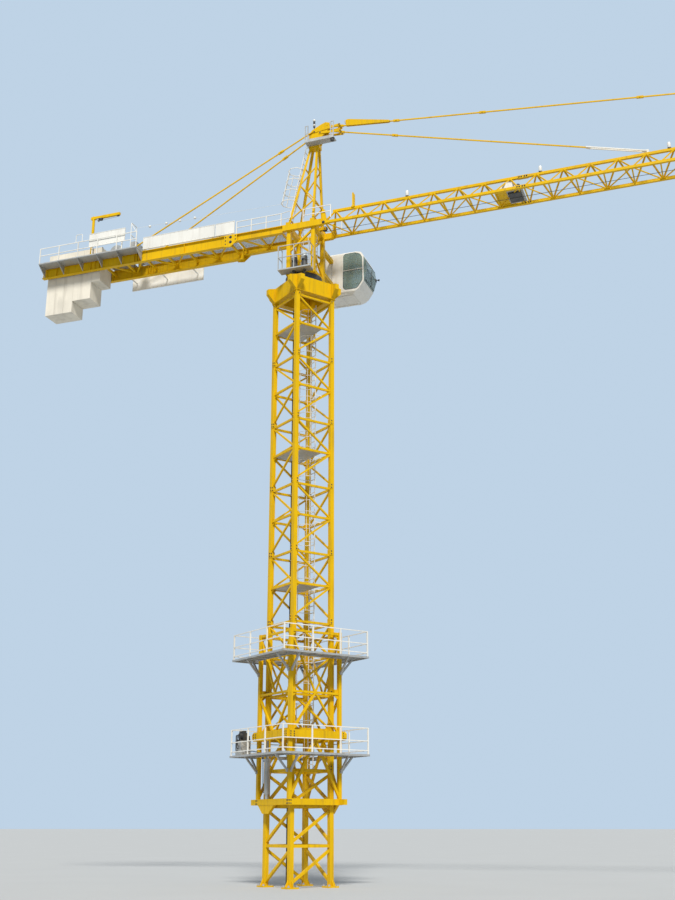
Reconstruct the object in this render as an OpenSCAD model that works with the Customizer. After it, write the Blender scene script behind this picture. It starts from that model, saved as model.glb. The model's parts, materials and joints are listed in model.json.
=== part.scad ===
// Tower crane with a climbing cage, as a 1:2 scale model in millimetres.
// Row +X runs along the jib, +Z is up, and the origin is under the near foot plate.

/* [Mast] */
// Distance between the centre lines of two mast legs
mast_w = 944; // [880:1:1000]
// Side of the square mast leg
leg_w = 95; // [80:1:105]
// Height of one mast section
section_h = 1500; // [1300:10:1700]
// Height of the base section's top above the ground
base_h = 2290; // [2000:10:2600]
// Side of the mast's horizontal and diagonal bars
brace_w = 46; // [34:1:56]
// Side of the heavier bars in the base section
base_brace_w = 60; // [46:1:70]
// How far a joint collar stands out from the leg
collar_out = 9; // [4:1:14]
// Height of one joint collar
collar_h = 62; // [40:1:90]
// Turn of the mast about its own axis, measured from the jib
mast_turn = -36.1; // [-45:0.1:-25]

/* [Feet] */
// Side of a foot plate
foot_w = 250; // [200:2:280]
// Thickness of a foot plate
foot_t = 30; // [20:1:45]
// Radius of an anchor bolt hole
anchor_r = 14; // [8:0.5:18]
// Distance between two anchor holes of one foot
anchor_pitch = 190; // [160:1:200]

/* [Mast fittings] */
// Width of the mast ladder between its stringers
ladder_w = 200; // [160:2:240]
// Distance between two rungs
rung_pitch = 150; // [120:5:170]
// Side of a ladder stringer or rung
ladder_bar = 16; // [12:1:20]
// Thickness of a rest platform
rest_t = 24; // [16:1:34]
// Diameter of the power cable
power_cable_d = 26; // [18:1:34]

/* [Slewing support] */
// Depth of the support beams
support_d = 375; // [300:5:420]
// Height of the support's corner posts above the mast
support_h = 420; // [390:5:460]
// Width of a support beam
support_beam_w = 100; // [80:2:110]
// How far a support beam runs past the leg's centre line
support_nose = 235; // [180:5:250]
// Outer radius of the slewing ring
ring_r = 430; // [400:2:450]
// Radial width of the slewing ring
ring_w = 90; // [60:2:110]
// Height of one half of the slewing ring
ring_h = 85; // [60:1:100]

/* [Climbing cage] */
// Distance between the centre lines of two cage legs
cage_w = 1200; // [1170:2:1260]
// Side of a cage leg
cage_leg_w = 75; // [60:1:90]
// Height of the cage's underside at rest
cage_z = 1560; // [1400:10:1700]
// Height of the cage from underside to top
cage_h = 3490; // [3300:10:3700]
// Side of the cage's diagonals
cage_brace_w = 44; // [34:1:54]
// Depth of the lower ring beam
cage_foot_d = 120; // [90:2:150]
// Depth of the crosshead beam
crosshead_d = 180; // [140:2:200]
// Half width of the work platforms
platform_half = 1050; // [960:5:1120]
// Thickness of a work platform
platform_t = 40; // [30:1:55]
// Height of the lower work platform's top above the cage's underside
platform_low_h = 990; // [940:5:1040]
// Height of the upper work platform's top above the cage's underside
platform_high_h = 2975; // [2890:5:3040]
// Height of the platform handrails
rail_h = 530; // [450:5:560]
// Bore of the climbing cylinder's barrel, outside
ram_d = 110; // [80:2:120]

/* [Cab mast] */
// Distance between the cab mast's posts along the jib and across it
cab_mast_w = 614; // [580:2:640]
// Side of a cab mast post
cab_post_w = 95; // [80:1:100]
// Offset of the cab mast along the jib
cab_mast_x = 45; // [20:1:70]
// Height of the deck beams' top above the slewing ring
deck_h = 1320; // [1280:5:1360]
// Distance of the jib's and counter-jib's beams from the centre plane
beam_y = 360; // [350:1:375]
// Width of the deck and counter-jib beams
beam_w = 100; // [90:2:110]

/* [Counter-jib] */
// Reach of the counter-jib behind the tower's axis
counter_reach = 7025; // [6900:25:7300]
// Depth of the outer counter-jib beams
outer_beam_d = 285; // [250:5:300]
// Depth of the inner counter-jib beams
inner_beam_d = 190; // [170:5:210]
// Distance of the pinned beam joint behind the axis
counter_joint_x = 1725; // [1600:5:1850]
// Thickness of one ballast slab along the jib
slab_t = 256; // [220:2:262]
// Width of a ballast slab between the beams
slab_w = 520; // [480:2:540]
// Joint between two ballast slabs
slab_gap = 4; // [3:1:8]

/* [Tower head] */
// Height of the head's cap above the deck
head_h = 2275; // [2150:5:2350]
// Side of a tower head leg
head_leg_w = 54; // [46:1:62]
// Thickness of one apex plate
apex_plate_t = 30; // [22:1:34]
// Radius of the apex sheave
sheave_r = 100; // [80:2:110]

/* [Jib] */
// Length of one jib section
jib_section_l = 4800; // [4400:40:5000]
// Bays in one jib section
jib_bays = 8; // [6:1:9]
// Depth of the lower chords' centre lines below the deck's top
jib_drop = 95; // [85:1:105]
// Height of the jib between the centre lines of its chords
jib_h = 470; // [440:5:500]
// Side of a jib chord
jib_chord_w = 62; // [50:1:70]
// Side of a jib lattice bar
jib_bar_w = 30; // [24:1:38]

/* [Operator's cab] */
// Length of the cab along the jib, without the bulge of its glass
cab_l = 930; // [860:10:980]
// How far the front glass bulges out
cab_bulge = 180; // [140:5:200]
// Width of the cab
cab_w = 750; // [700:10:800]
// Height of the cab
cab_h = 1125; // [1060:5:1160]
// Thickness of the cab's walls
cab_wall = 25; // [18:1:32]
// Distance from the centre plane to the cab's near side
cab_y = 950; // [945:1:990]

/* [Hidden] */

crane_yellow = "#f2b705";
galvanised = "#9aa0a3";
white_paint = "#f1f1ee";
dark_grey = "#33363a";
glass_green = "#3c5c50";

// Places of the mast
sections = 7;
half_mast = mast_w / 2;
leg_out = half_mast + leg_w / 2;
mast_top = base_h + sections * section_h;
foot_angle = mast_turn - 45;
axis_x = -half_mast * sqrt(2) * cos(foot_angle);
axis_y = -half_mast * sqrt(2) * sin(foot_angle);
corners = [[1, -1], [1, 1], [-1, 1], [-1, -1]];

// Slack between neighbouring pieces that move on each other
slack = 0.3;
// How much thinner a diagonal is than the level bars beside it
bar_step = 8;

module at_axis() translate([axis_x, axis_y, 0]) children();
module at_mast() at_axis() rotate(mast_turn) children();

// Block between two opposite corners
module block(low, high) translate(low) cube(high - low);

// Square bar of side w from point a to point b
module bar(a, b, w) {
  run = b - a;
  translate(a)
    rotate([0, acos(run.z / norm(run)), atan2(run.y, run.x)])
      linear_extrude(norm(run)) square(w, center = true);
}

// Plate of thickness t about the plane y, with an outline in x and z
module plate_xz(outline, y, t)
  translate([0, y + t / 2, 0]) rotate([90, 0, 0]) linear_extrude(t) polygon(outline);

// Ring of square section about the z axis
module ring_frame(half, width, low, high)
  difference() {
    block([-half - width / 2, -half - width / 2, low], [half + width / 2, half + width / 2, high]);
    block([-half + width / 2, -half + width / 2, low - 1], [half - width / 2, half - width / 2, high + 1]);
  }

// Feet and mast

module foot_plates() color(crane_yellow) at_mast()
  for (c = corners)
    translate([c[0] * half_mast, c[1] * half_mast, 0])
      difference() {
        block([-foot_w / 2, -foot_w / 2, 0], [foot_w / 2, foot_w / 2, foot_t]);
        for (h = corners)
          translate([h[0] * anchor_pitch / 2, h[1] * anchor_pitch / 2, -1])
            cylinder(r = anchor_r, h = foot_t + 2, $fn = 32);
      }

// Children drawn for the corner at +x, +y, repeated at all four corners at a distance from the axis
module at_corners(distance)
  for (k = [0, 1], m = [0, 1])
    mirror([k, 0, 0]) mirror([0, m, 0]) translate([distance, distance, 0]) children();

// Joint collar: it leaves the leg's outer edge free as a track for the climbing cage
module collar(low) {
  out = leg_w / 2 + collar_out;
  block([-out, -out, low], [out, 0, low + collar_h]);
  block([-out, -out, low], [0, out, low + collar_h]);
}

module mast_legs(low, high)
  at_corners(half_mast) {
    block([-leg_w / 2, -leg_w / 2, low], [leg_w / 2, leg_w / 2, high]);
    collar(high - collar_h);
  }

// Bar across one face, from the left leg at height a to the right leg at height b
module face_bar(a, b, w) bar([-half_mast, -half_mast, a], [half_mast, -half_mast, b], w);

// Gusset plate between the left leg and the bars that meet it at height z
gusset_t = 12;
gusset_w = 105;
gusset_h = 150;

module gusset(z) {
  root = -half_mast + leg_w / 2 - 6;
  plate_xz([
    [root, z - gusset_h / 2], [root + 30, z - gusset_h / 2], [root + gusset_w, z - gusset_h / 6],
    [root + gusset_w, z + gusset_h / 6], [root + 30, z + gusset_h / 2], [root, z + gusset_h / 2]
  ], -half_mast, gusset_t);
}

module base_section() color(crane_yellow) at_mast() {
  panels = 3;
  pitch = (base_h - foot_t) / panels;
  mast_legs(foot_t, base_h);
  for (k = [0:3]) rotate(90 * k)
    for (p = [1:panels]) {
      level = foot_t + p * pitch - (p == panels ? collar_h : 0);
      face_bar(level, level, base_brace_w);
      face_bar(foot_t + (p - 1) * pitch + base_brace_w, level - base_brace_w, base_brace_w - bar_step);
    }
}

module mast_section(n) color(crane_yellow) at_mast() {
  low = base_h + (n - 1) * section_h;
  high = low + section_h;
  middle = low + section_h / 2;
  upper = high - collar_h;
  mast_legs(low, high);
  at_corners(half_mast) collar(low);
  for (k = [0:3]) rotate(90 * k) {
    face_bar(upper, upper, brace_w);
    face_bar(middle, middle, brace_w);
    face_bar(upper, middle, brace_w - bar_step);
    face_bar(low + brace_w, middle, brace_w - bar_step);
    mirror([1, 0, 0]) gusset(middle);
    gusset(middle);
  }
}

// Support for the slewing ring: four posts, four beams with flared noses, and the ring's seat

support_top = mast_top + support_h;
seat_t = 25;
ring_z = support_top + seat_t;

module support_beam() {
  top = support_top;
  low = support_top - support_d;
  nose = half_mast + support_nose;
  plate_xz([
    [-leg_out, low], [leg_out, low],
    [nose, top - 0.5 * support_d], [nose, top - 0.15 * support_d],
    [leg_out, top], [-leg_out, top],
    [-nose, top - 0.15 * support_d], [-nose, top - 0.5 * support_d]
  ], -half_mast, support_beam_w);
}

module slewing_support() color(crane_yellow) at_mast() {
  for (c = corners)
    translate([c[0] * half_mast, c[1] * half_mast, 0])
      block([-leg_w / 2, -leg_w / 2, mast_top], [leg_w / 2, leg_w / 2, support_top]);
  for (k = [0:3]) rotate(90 * k) support_beam();
  difference() {
    block([-half_mast, -half_mast, support_top], [half_mast, half_mast, ring_z]);
    translate([0, 0, support_top - 1]) cylinder(r = ring_r - ring_w, h = seat_t + 2, $fn = 64);
  }
}

module slewing_ring(z) color(dark_grey) at_axis()
  translate([0, 0, z])
    difference() {
      cylinder(r = ring_r, h = ring_h, $fn = 64);
      translate([0, 0, -1]) cylinder(r = ring_r - ring_w, h = ring_h + 2, $fn = 64);
    }

module slewing_ring_lower() slewing_ring(ring_z);
module slewing_ring_upper() slewing_ring(ring_z + ring_h + slack);

// Ladder, rest platforms and power cable inside the mast

ladder_y = half_mast - 190;
inner_face = half_mast - brace_w / 2;
cable_x = -half_mast + base_brace_w / 2 + power_cable_d / 2;
cable_y = 0;
rest_gap = 40;

module ladder_run(low, high) {
  for (s = [-1, 1])
    block([s * ladder_w / 2 - ladder_bar / 2, ladder_y - ladder_bar / 2, low],
          [s * ladder_w / 2 + ladder_bar / 2, ladder_y + ladder_bar / 2, high]);
  for (z = [low + rung_pitch / 2 : rung_pitch : high - ladder_bar])
    block([-ladder_w / 2, ladder_y - ladder_bar / 2, z],
          [ladder_w / 2, ladder_y + ladder_bar / 2, z + ladder_bar]);
}

// Arm from the ladder back to a mast bar at height z
module ladder_arm(z)
  for (s = [-1, 1])
    block([s * ladder_w / 2 - ladder_bar / 2, ladder_y, z - ladder_bar / 2],
          [s * ladder_w / 2 + ladder_bar / 2, inner_face, z + ladder_bar / 2]);

module mast_ladder() color(white_paint) at_mast()
  for (n = [1:sections]) {
    low = base_h + (n - 1) * section_h;
    ladder_run(low, low + section_h - slack);
    ladder_arm(low + section_h / 2);
  }

rest_sections = [3, 5, 7];

// Each rest platform hangs between the middle bars and leaves room for the ladder and the cable
module rest_platforms() color(galvanised) at_mast()
  for (n = rest_sections) {
    z = base_h + (n - 0.5) * section_h - rest_t / 2;
    difference() {
      block([-inner_face, -half_mast + leg_w / 2, z], [inner_face, ladder_y - ladder_bar - rest_gap, z + rest_t]);
      block([-inner_face - 1, cable_y - power_cable_d, z - 1], [cable_x + power_cable_d, cable_y + power_cable_d, z + rest_t + 1]);
    }
  }

// The power cable runs down inside the back face, clipped to the base section's bars
module power_cable() color(dark_grey) at_mast()
  translate([cable_x, cable_y, foot_t])
    rotate(22.5)
      cylinder(d = power_cable_d / cos(22.5), h = mast_top - foot_t, $fn = 8);

// Climbing cage, in its lowest working place around the base

half_cage = cage_w / 2;
cage_in = half_cage - cage_leg_w / 2;
cage_out = half_cage + cage_leg_w / 2;
cage_top = cage_z + cage_h;
platform_low_z = cage_z + platform_low_h;
platform_high_z = cage_z + platform_high_h;
crosshead_z = platform_low_z + 280;
cage_mid_z = crosshead_z + 940;

module cage_bar(a, b, w) bar([-half_cage, -half_cage, a], [half_cage, -half_cage, b], w);

// Guide shoe: an angle that wraps the outer edge of a mast leg and joins the cage's leg
guide_h = 90;
guide_lap = 38;

module guide_shoe(z) {
  near = leg_out + slack;
  block([near, leg_out - guide_lap, z], [half_cage, half_cage, z + guide_h]);
  block([leg_out - guide_lap, near, z], [half_cage, half_cage, z + guide_h]);
}

// Pair of struts on one face, from both legs at height a to the middle of the face at height b
module cage_vee(a, b, w) {
  bar([-half_cage, -half_cage, a], [0, -half_cage, b], w);
  bar([half_cage, -half_cage, a], [0, -half_cage, b], w - 5);
}

// Tapered seat under the ring beam, below the climbing cylinder
ram_x = -260;
seat_drop = 165;
beam_lap = 190;

module cylinder_seat()
  plate_xz([
    [-cage_in + 10, cage_z + 20], [-cage_in + 10, cage_z], [ram_x - 120, cage_z - seat_drop],
    [ram_x + 120, cage_z - seat_drop], [ram_x + 330, cage_z], [ram_x + 330, cage_z + 20]
  ], -half_cage, cage_leg_w - 12);

module cage_frame() color(crane_yellow) at_mast() {
  for (c = corners)
    translate([c[0] * half_cage, c[1] * half_cage, 0])
      block([-cage_leg_w / 2, -cage_leg_w / 2, cage_z], [cage_leg_w / 2, cage_leg_w / 2, cage_top]);
  ring_frame(half_cage, cage_leg_w, cage_z, cage_z + cage_foot_d);
  for (k = [0:3]) rotate(90 * k) {
    cage_bar(cage_top - cage_brace_w, cage_top - cage_brace_w, cage_brace_w);
    cage_bar(cage_mid_z, cage_mid_z, cage_brace_w);
    cage_vee(cage_top - 2 * cage_brace_w, cage_mid_z, cage_brace_w - bar_step);
    if (k % 2 == 0) cage_vee(cage_mid_z - cage_brace_w, crosshead_z + crosshead_d / 2, cage_brace_w);
    else cage_vee(crosshead_z + crosshead_d / 2, cage_mid_z, cage_brace_w);
    if (k != 0) cage_vee(cage_z + cage_foot_d, crosshead_z + 20, cage_brace_w + bar_step);
  }
  for (k = [0:1]) rotate(180 * k) {
    block([-cage_out - beam_lap, -cage_out, cage_z + 4], [-half_cage, -cage_in, cage_z + cage_foot_d - 4]);
    cylinder_seat();
  }
  for (z = [cage_z, cage_mid_z, cage_top - guide_h]) at_corners(0) guide_shoe(z);
}

// Crosshead: deep box beams round the cage's legs, two of them with tapered ends past the legs
crosshead_lap = 75;

module crosshead_beam() {
  outer = cage_out + crosshead_lap;
  tip = crosshead_d / 4;
  plate_xz([
    [-outer, crosshead_z + tip], [-cage_out - 20, crosshead_z], [cage_out + 20, crosshead_z],
    [cage_out + 20, crosshead_z + crosshead_d], [-cage_out - 20, crosshead_z + crosshead_d],
    [-outer, crosshead_z + crosshead_d - tip]
  ], -cage_out - cage_leg_w / 2, cage_leg_w);
}

module cage_crosshead() color(crane_yellow) at_mast()
  for (k = [0:1]) rotate(180 * k) {
    crosshead_beam();
    block([cage_out, -cage_out - 30, crosshead_z + 6], [cage_out + cage_leg_w - 15, cage_out + 30, crosshead_z + crosshead_d - 6]);
  }

// Brace under a work platform, flush with the cage leg's outer face
brace_drop = 330;
brace_out = 300;

module platform_brace(z) {
  w = cage_brace_w - 8;
  block([cage_out, half_cage - w / 2, z - platform_t - brace_drop],
        [cage_out + w, half_cage + w / 2, z - platform_t - brace_drop + 2 * w]);
  bar([cage_out + w / 2, half_cage, z - platform_t - brace_drop + w],
      [cage_out + brace_out, half_cage, z - platform_t / 2], w);
}

// Deck plate on edge beams and joists, open round the cage
deck_t = 12;
joist_t = 14;
joists = 6;

module work_platform(z) {
  outer = platform_half - joist_t;
  inner = cage_out + joist_t;
  pitch = (inner + outer) / joists;
  difference() {
    block([-platform_half, -platform_half, z - platform_t], [platform_half, platform_half, z]);
    block([-cage_out, -cage_out, z - platform_t - 1], [cage_out, cage_out, z + 1]);
    for (k = [0:3], i = [0:joists - 1]) rotate(90 * k)
      block([-outer + i * pitch + (i == 0 ? 0 : joist_t), -outer, z - platform_t - 1],
            [-outer + (i + 1) * pitch, -inner, z - deck_t]);
  }
  for (k = [0:3], m = [0:1]) rotate(90 * k) mirror([0, m, 0]) platform_brace(z);
}

module work_platforms() color(galvanised) at_mast() {
  work_platform(platform_low_z);
  work_platform(platform_high_z);
}

rail_post_w = 26;
rail_w = 18;
toe_rail_h = 75;

module platform_rail(z) {
  edge = platform_half - rail_post_w;
  for (k = [0:3]) rotate(90 * k) {
    for (x = [-edge, -edge / 3, edge / 3])
      translate([x, -edge, 0])
        block([-rail_post_w / 2, -rail_post_w / 2, z], [rail_post_w / 2, rail_post_w / 2, z + rail_h]);
    for (h = [rail_h - rail_w / 2, rail_h / 2, toe_rail_h])
      bar([-edge, -edge, z + h], [edge, -edge, z + h], rail_w);
  }
}

module work_platform_rails() color(white_paint) at_mast() {
  platform_rail(platform_low_z);
  platform_rail(platform_high_z);
}

module climbing_cylinder() color(galvanised) at_mast() {
  low = cage_z + cage_foot_d;
  barrel_h = 700;
  eye_h = 90;
  translate([ram_x, -half_cage, low + eye_h]) cylinder(d = ram_d, h = barrel_h, $fn = 48);
  translate([ram_x, -half_cage, low]) cylinder(d = ram_d * 0.7, h = eye_h + 1, $fn = 48);
  translate([ram_x, -half_cage, low + eye_h + barrel_h - 60]) cylinder(d = ram_d + 24, h = 60, $fn = 48);
  translate([ram_x, -half_cage, low + barrel_h])
    cylinder(d = ram_d / 2, h = crosshead_z - low - barrel_h, $fn = 48);
}

module power_pack() color(dark_grey) at_mast()
  translate([-platform_half + 90, -platform_half + 90, platform_low_z]) {
    tank = [230, 230, 300];
    block([0, 0, 0], tank);
    for (x = [0, 1]) block([30 + x * 130, 10, tank.z], [60 + x * 130, tank.y - 10, tank.z + 30]);
    translate([tank.x / 2, 30, tank.z + 95]) rotate([-90, 0, 0]) cylinder(d = 150, h = 170, $fn = 48);
    translate([tank.x / 2, 20, tank.z + 95]) rotate([-90, 0, 0]) cylinder(d = 110, h = 190, $fn = 48);
    block([tank.x - 75, 60, tank.z], [tank.x - 15, 130, tank.z + 200]);
  }

// Cab mast, deck and slewing platform

half_cab_mast = cab_mast_w / 2;
rotor_z = ring_z + 2 * ring_h + slack;
rotor_beam_h = 90;
deck_z = rotor_z + deck_h;
head_z = deck_z + head_h;
jib_low_z = deck_z - jib_drop;
jib_top_z = jib_low_z + jib_h;
deck_d = 150;
deck_back_x = -400;
deck_front_x = 600;

module cab_face(w) {
  span = cab_mast_w;
  low = rotor_z + rotor_beam_h;
  high = deck_z - deck_d;
  middle = (low + high) / 2;
  bar([-span / 2, -span / 2, middle], [span / 2, -span / 2, high - w / 2], w);
  bar([-span / 2, -span / 2, middle - w], [span / 2, -span / 2, low + w / 2], w);
}

module cab_mast() color(crane_yellow) at_axis() {
  translate([cab_mast_x, 0, 0]) {
    ring_frame(half_cab_mast, cab_post_w, rotor_z, rotor_z + rotor_beam_h);
    for (c = corners)
      translate([c[0] * half_cab_mast, c[1] * half_cab_mast, 0])
        block([-cab_post_w / 2, -cab_post_w / 2, rotor_z], [cab_post_w / 2, cab_post_w / 2, deck_z - 10]);
    for (k = [0:3]) rotate(90 * k) cab_face(cage_brace_w);
    for (s = [-1, 1])
      block([s * half_cab_mast - cab_post_w / 2, -beam_y, deck_z - deck_d],
            [s * half_cab_mast + cab_post_w / 2, beam_y, deck_z - 10]);
  }
  for (s = [-1, 1])
    block([deck_back_x, s * beam_y - beam_w / 2, deck_z - deck_d],
          [deck_front_x, s * beam_y + beam_w / 2, deck_z]);
}

// Platform beside the cab mast, with the slewing motors on it
slew_platform_y = 620;
slew_platform_z = rotor_z + 60;
slew_platform_t = 30;
slew_rail_h = 600;
slew_rail_w = 18;
slew_x0 = cab_mast_x - half_cab_mast - 158;
slew_x1 = cab_mast_x + half_cab_mast + 28;

module slewing_platform() color(galvanised) at_axis() {
  near = -half_cab_mast - cab_post_w / 2;
  edge = -slew_platform_y + 12;
  ends = [slew_x0 + 10, slew_x1 - 10];
  block([slew_x0, -slew_platform_y, slew_platform_z - slew_platform_t], [slew_x1, near, slew_platform_z]);
  for (x = ends, y = [edge, near - 14])
    translate([x, y, slew_platform_z]) block([-10, -10, 0], [10, 10, slew_rail_h]);
  translate([(ends[0] + ends[1]) / 2, edge, slew_platform_z]) block([-10, -10, 0], [10, 10, slew_rail_h]);
  for (h = [slew_rail_h / 2, slew_rail_h - slew_rail_w / 2]) {
    z = slew_platform_z + h;
    bar([ends[0], edge, z], [ends[1], edge, z], slew_rail_w);
    for (x = ends) bar([x, edge, z], [x, near - 14, z], slew_rail_w - 3);
  }
}

motor_r = 72;
motor_y = -half_cab_mast - cab_post_w / 2 - 100;

// Two vertical gear motors with flanged feet
module slewing_motors() color(dark_grey) at_axis()
  for (x = [-60, 190]) translate([x, motor_y, slew_platform_z]) {
    cylinder(r = motor_r + 18, h = 20, $fn = 48);
    cylinder(r = motor_r, h = 190, $fn = 48);
    cylinder(r = motor_r - 14, h = 340, $fn = 48);
    cylinder(r = motor_r + 6, h = 60, $fn = 48);
  }

// Operator's cab: a rounded pod with a bulged glass front

cab_x = 165;
cab_floor_z = rotor_z - 30;
cab_roof_z = cab_floor_z + cab_h;
cab_front = cab_x + cab_l;
cab_chamfer = 50;
cab_round = 60;
glass_x = cab_x + 485;
window_x = cab_front + 45;
window_frame = 35;
glass_inset = 6;
glass_t = 10;
pane_gap = 0.3;

module cab_side()
  offset(r = cab_round, $fn = 24) offset(delta = -cab_round) polygon([
    [cab_x, cab_floor_z], [cab_front - 195, cab_floor_z], [cab_front - 35, cab_floor_z + 0.1 * cab_h],
    [cab_front + 0.6 * cab_bulge, cab_floor_z + 0.29 * cab_h], [cab_front + cab_bulge, cab_floor_z + 0.5 * cab_h],
    [cab_front + 0.8 * cab_bulge, cab_floor_z + 0.73 * cab_h], [cab_front + 25, cab_roof_z - 70],
    [cab_front - 135, cab_roof_z], [cab_x, cab_roof_z]
  ]);

module cab_section()
  polygon([
    [0, cab_floor_z + cab_chamfer], [cab_chamfer, cab_floor_z], [cab_w - cab_chamfer, cab_floor_z],
    [cab_w, cab_floor_z + cab_chamfer], [cab_w, cab_roof_z - cab_chamfer], [cab_w - cab_chamfer, cab_roof_z],
    [cab_chamfer, cab_roof_z], [0, cab_roof_z - cab_chamfer]
  ]);

// The pod, taken in by an inset on every side
module pod(inset)
  intersection() {
    translate([0, cab_y + cab_w - inset, 0])
      rotate([90, 0, 0]) linear_extrude(cab_w - 2 * inset) offset(delta = -inset) cab_side();
    translate([cab_x, cab_y, 0])
      rotate([90, 0, 90]) linear_extrude(cab_l + 2 * cab_bulge) offset(delta = -inset) cab_section();
  }

// What the side windows and the glass front take out of the shell, grown by a margin
module window_space(grow) {
  translate([0, cab_y + cab_w + 1, 0]) rotate([90, 0, 0]) linear_extrude(cab_w + 2)
    offset(delta = grow) offset(r = 90, $fn = 24) offset(delta = -90)
      intersection() {
        offset(delta = -window_frame - 10) cab_side();
        translate([glass_x, cab_floor_z + 110]) square([window_x - glass_x, cab_h]);
      }
  block([window_x + window_frame - grow, cab_y - 1, cab_floor_z], [cab_front + 2 * cab_bulge, cab_y + cab_w + 1, cab_roof_z]);
}

// Bars that halve the side windows
module mullions(grow) {
  z = cab_floor_z + 0.54 * cab_h;
  for (y = [cab_y, cab_y + cab_w - cab_wall])
    block([glass_x - 10, y - grow, z - grow], [window_x + 10, y + cab_wall + grow, z + 20 + grow]);
}

module cab_body() color(white_paint) at_axis() {
  difference() {
    pod(0);
    pod(cab_wall);
    window_space(0);
  }
  mullions(0);
}

module cab_glass() color(glass_green) at_axis()
  difference() {
    intersection() {
      pod(glass_inset);
      window_space(-pane_gap);
    }
    pod(glass_inset + glass_t);
    mullions(pane_gap);
  }

// Seat with its two consoles, on the cab's floor
module cab_seat() color(dark_grey) at_axis() {
  floor_z = cab_floor_z + cab_wall;
  translate([cab_x + 500, cab_y + cab_w / 2, floor_z]) {
    cylinder(r = 60, h = 190, $fn = 48);
    block([-130, -120, 190], [130, 120, 245]);
    plate_xz([[-130, 230], [-90, 230], [-150, 640], [-190, 640]], 0, 220);
    for (s = [-1, 1]) block([-60, s * 175 - 45, 0], [150, s * 175 + 45, 330]);
  }
}

module cab_bracket() color(crane_yellow) at_axis()
  for (z = [cab_floor_z + 250, cab_roof_z - 260])
    block([cab_mast_x + half_cab_mast - cab_post_w / 2, half_cab_mast + cab_post_w / 2, z],
          [cab_mast_x + half_cab_mast + cab_post_w / 2, cab_y, z + 90]);

// Tower head and its fittings

cap_h = 100;
cap_x0 = 130;
cap_x1 = 400;
cap_y = 95;
pad_h = 60;
head_brace_w = 26;

module head_leg(x, s, x_top) {
  foot = [x, s * (beam_y - beam_w / 4), deck_z + pad_h / 2];
  bar(foot, [x_top, s * (cap_y - head_leg_w / 2), head_z - cap_h / 2], head_leg_w);
  block([x - 55, s * beam_y - beam_w / 2, deck_z], [x + 55, s * beam_y + beam_w / 2, deck_z + pad_h]);
}

head_rear_x = cab_mast_x - half_cab_mast;
head_front_x = cab_mast_x + half_cab_mast;

// Point on a head leg at a share t of its height
function head_point(x, s, x_top, t) =
  let (foot = [x, s * (beam_y - beam_w / 4), deck_z + pad_h / 2],
       top = [x_top, s * (cap_y - head_leg_w / 2), head_z - cap_h / 2])
  foot + t * (top - foot);

module tower_head() color(crane_yellow) at_axis() {
  rear_top = cap_x0 + head_leg_w;
  front_top = cap_x1 - head_leg_w;
  steps = [0.06, 0.28, 0.5, 0.72];
  for (s = [-1, 1]) {
    head_leg(head_rear_x, s, rear_top);
    head_leg(head_front_x, s, front_top);
    for (i = [0:len(steps) - 2])
      bar(head_point(i % 2 == 0 ? head_rear_x : head_front_x, s, i % 2 == 0 ? rear_top : front_top, steps[i]),
          head_point(i % 2 == 0 ? head_front_x : head_rear_x, s, i % 2 == 0 ? front_top : rear_top, steps[i + 1]), head_brace_w);
  }
  for (t = steps)
    bar(head_point(head_rear_x, -1, rear_top, t), head_point(head_rear_x, 1, rear_top, t), head_brace_w);
  for (t = steps)
    bar(head_point(head_front_x, -1, front_top, t), head_point(head_front_x, 1, front_top, t), head_brace_w);
  block([cap_x0, -cap_y, head_z - cap_h], [cap_x1, cap_y, head_z]);
}

module head_ladder() color(white_paint) at_axis() {
  low = [head_rear_x - 150, 0, deck_z];
  high = [cap_x0 - 60, 0, head_z - 20];
  side = [0, 90, 0];
  steps = floor(norm(high - low) / rung_pitch);
  for (s = [-1, 1]) {
    bar(low + s * side, high + s * side, ladder_bar);
    block([high.x - ladder_bar, s * side.y - ladder_bar / 2, head_z - 70],
          [cap_x0, s * side.y + ladder_bar / 2, head_z - 54]);
  }
  for (i = [1:steps - 1]) {
    rung = low + (high - low) * i / steps;
    bar(rung - side, rung + side, ladder_bar - 2);
  }
  for (i = [0:hoops - 1]) ladder_hoop(low + (high - low) * (hoop_from + i * hoop_step));
  for (a = [135, 180, 225])
    bar(hoop_point(low + (high - low) * hoop_from, a),
        hoop_point(low + (high - low) * (hoop_from + (hoops - 1) * hoop_step), a), hoop_t);
}

// Safety hoops behind the ladder's climber
hoops = 4;
hoop_from = 0.36;
hoop_step = 0.125;
hoop_r = 190;
hoop_t = 14;
hoop_out = 162;

function hoop_point(at, a) = at + [-hoop_out + (hoop_r - hoop_t / 2) * cos(a), (hoop_r - hoop_t / 2) * sin(a), 0];

module ladder_hoop(at)
  translate(at + [-hoop_out, 0, -hoop_t / 2])
    rotate(22.5) difference() {
      cylinder(r = hoop_r / cos(22.5), h = hoop_t, $fn = 8);
      translate([0, 0, -1]) cylinder(r = (hoop_r - hoop_t) / cos(22.5), h = hoop_t + 2, $fn = 8);
    }

// Platform on the near side of the head's cap, with a toe board and a pair of rail posts at each end
apex_deck_x = [100, 850];
apex_deck_y = -300;
apex_rail_h = 440;
apex_rail_w = 20;

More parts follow.
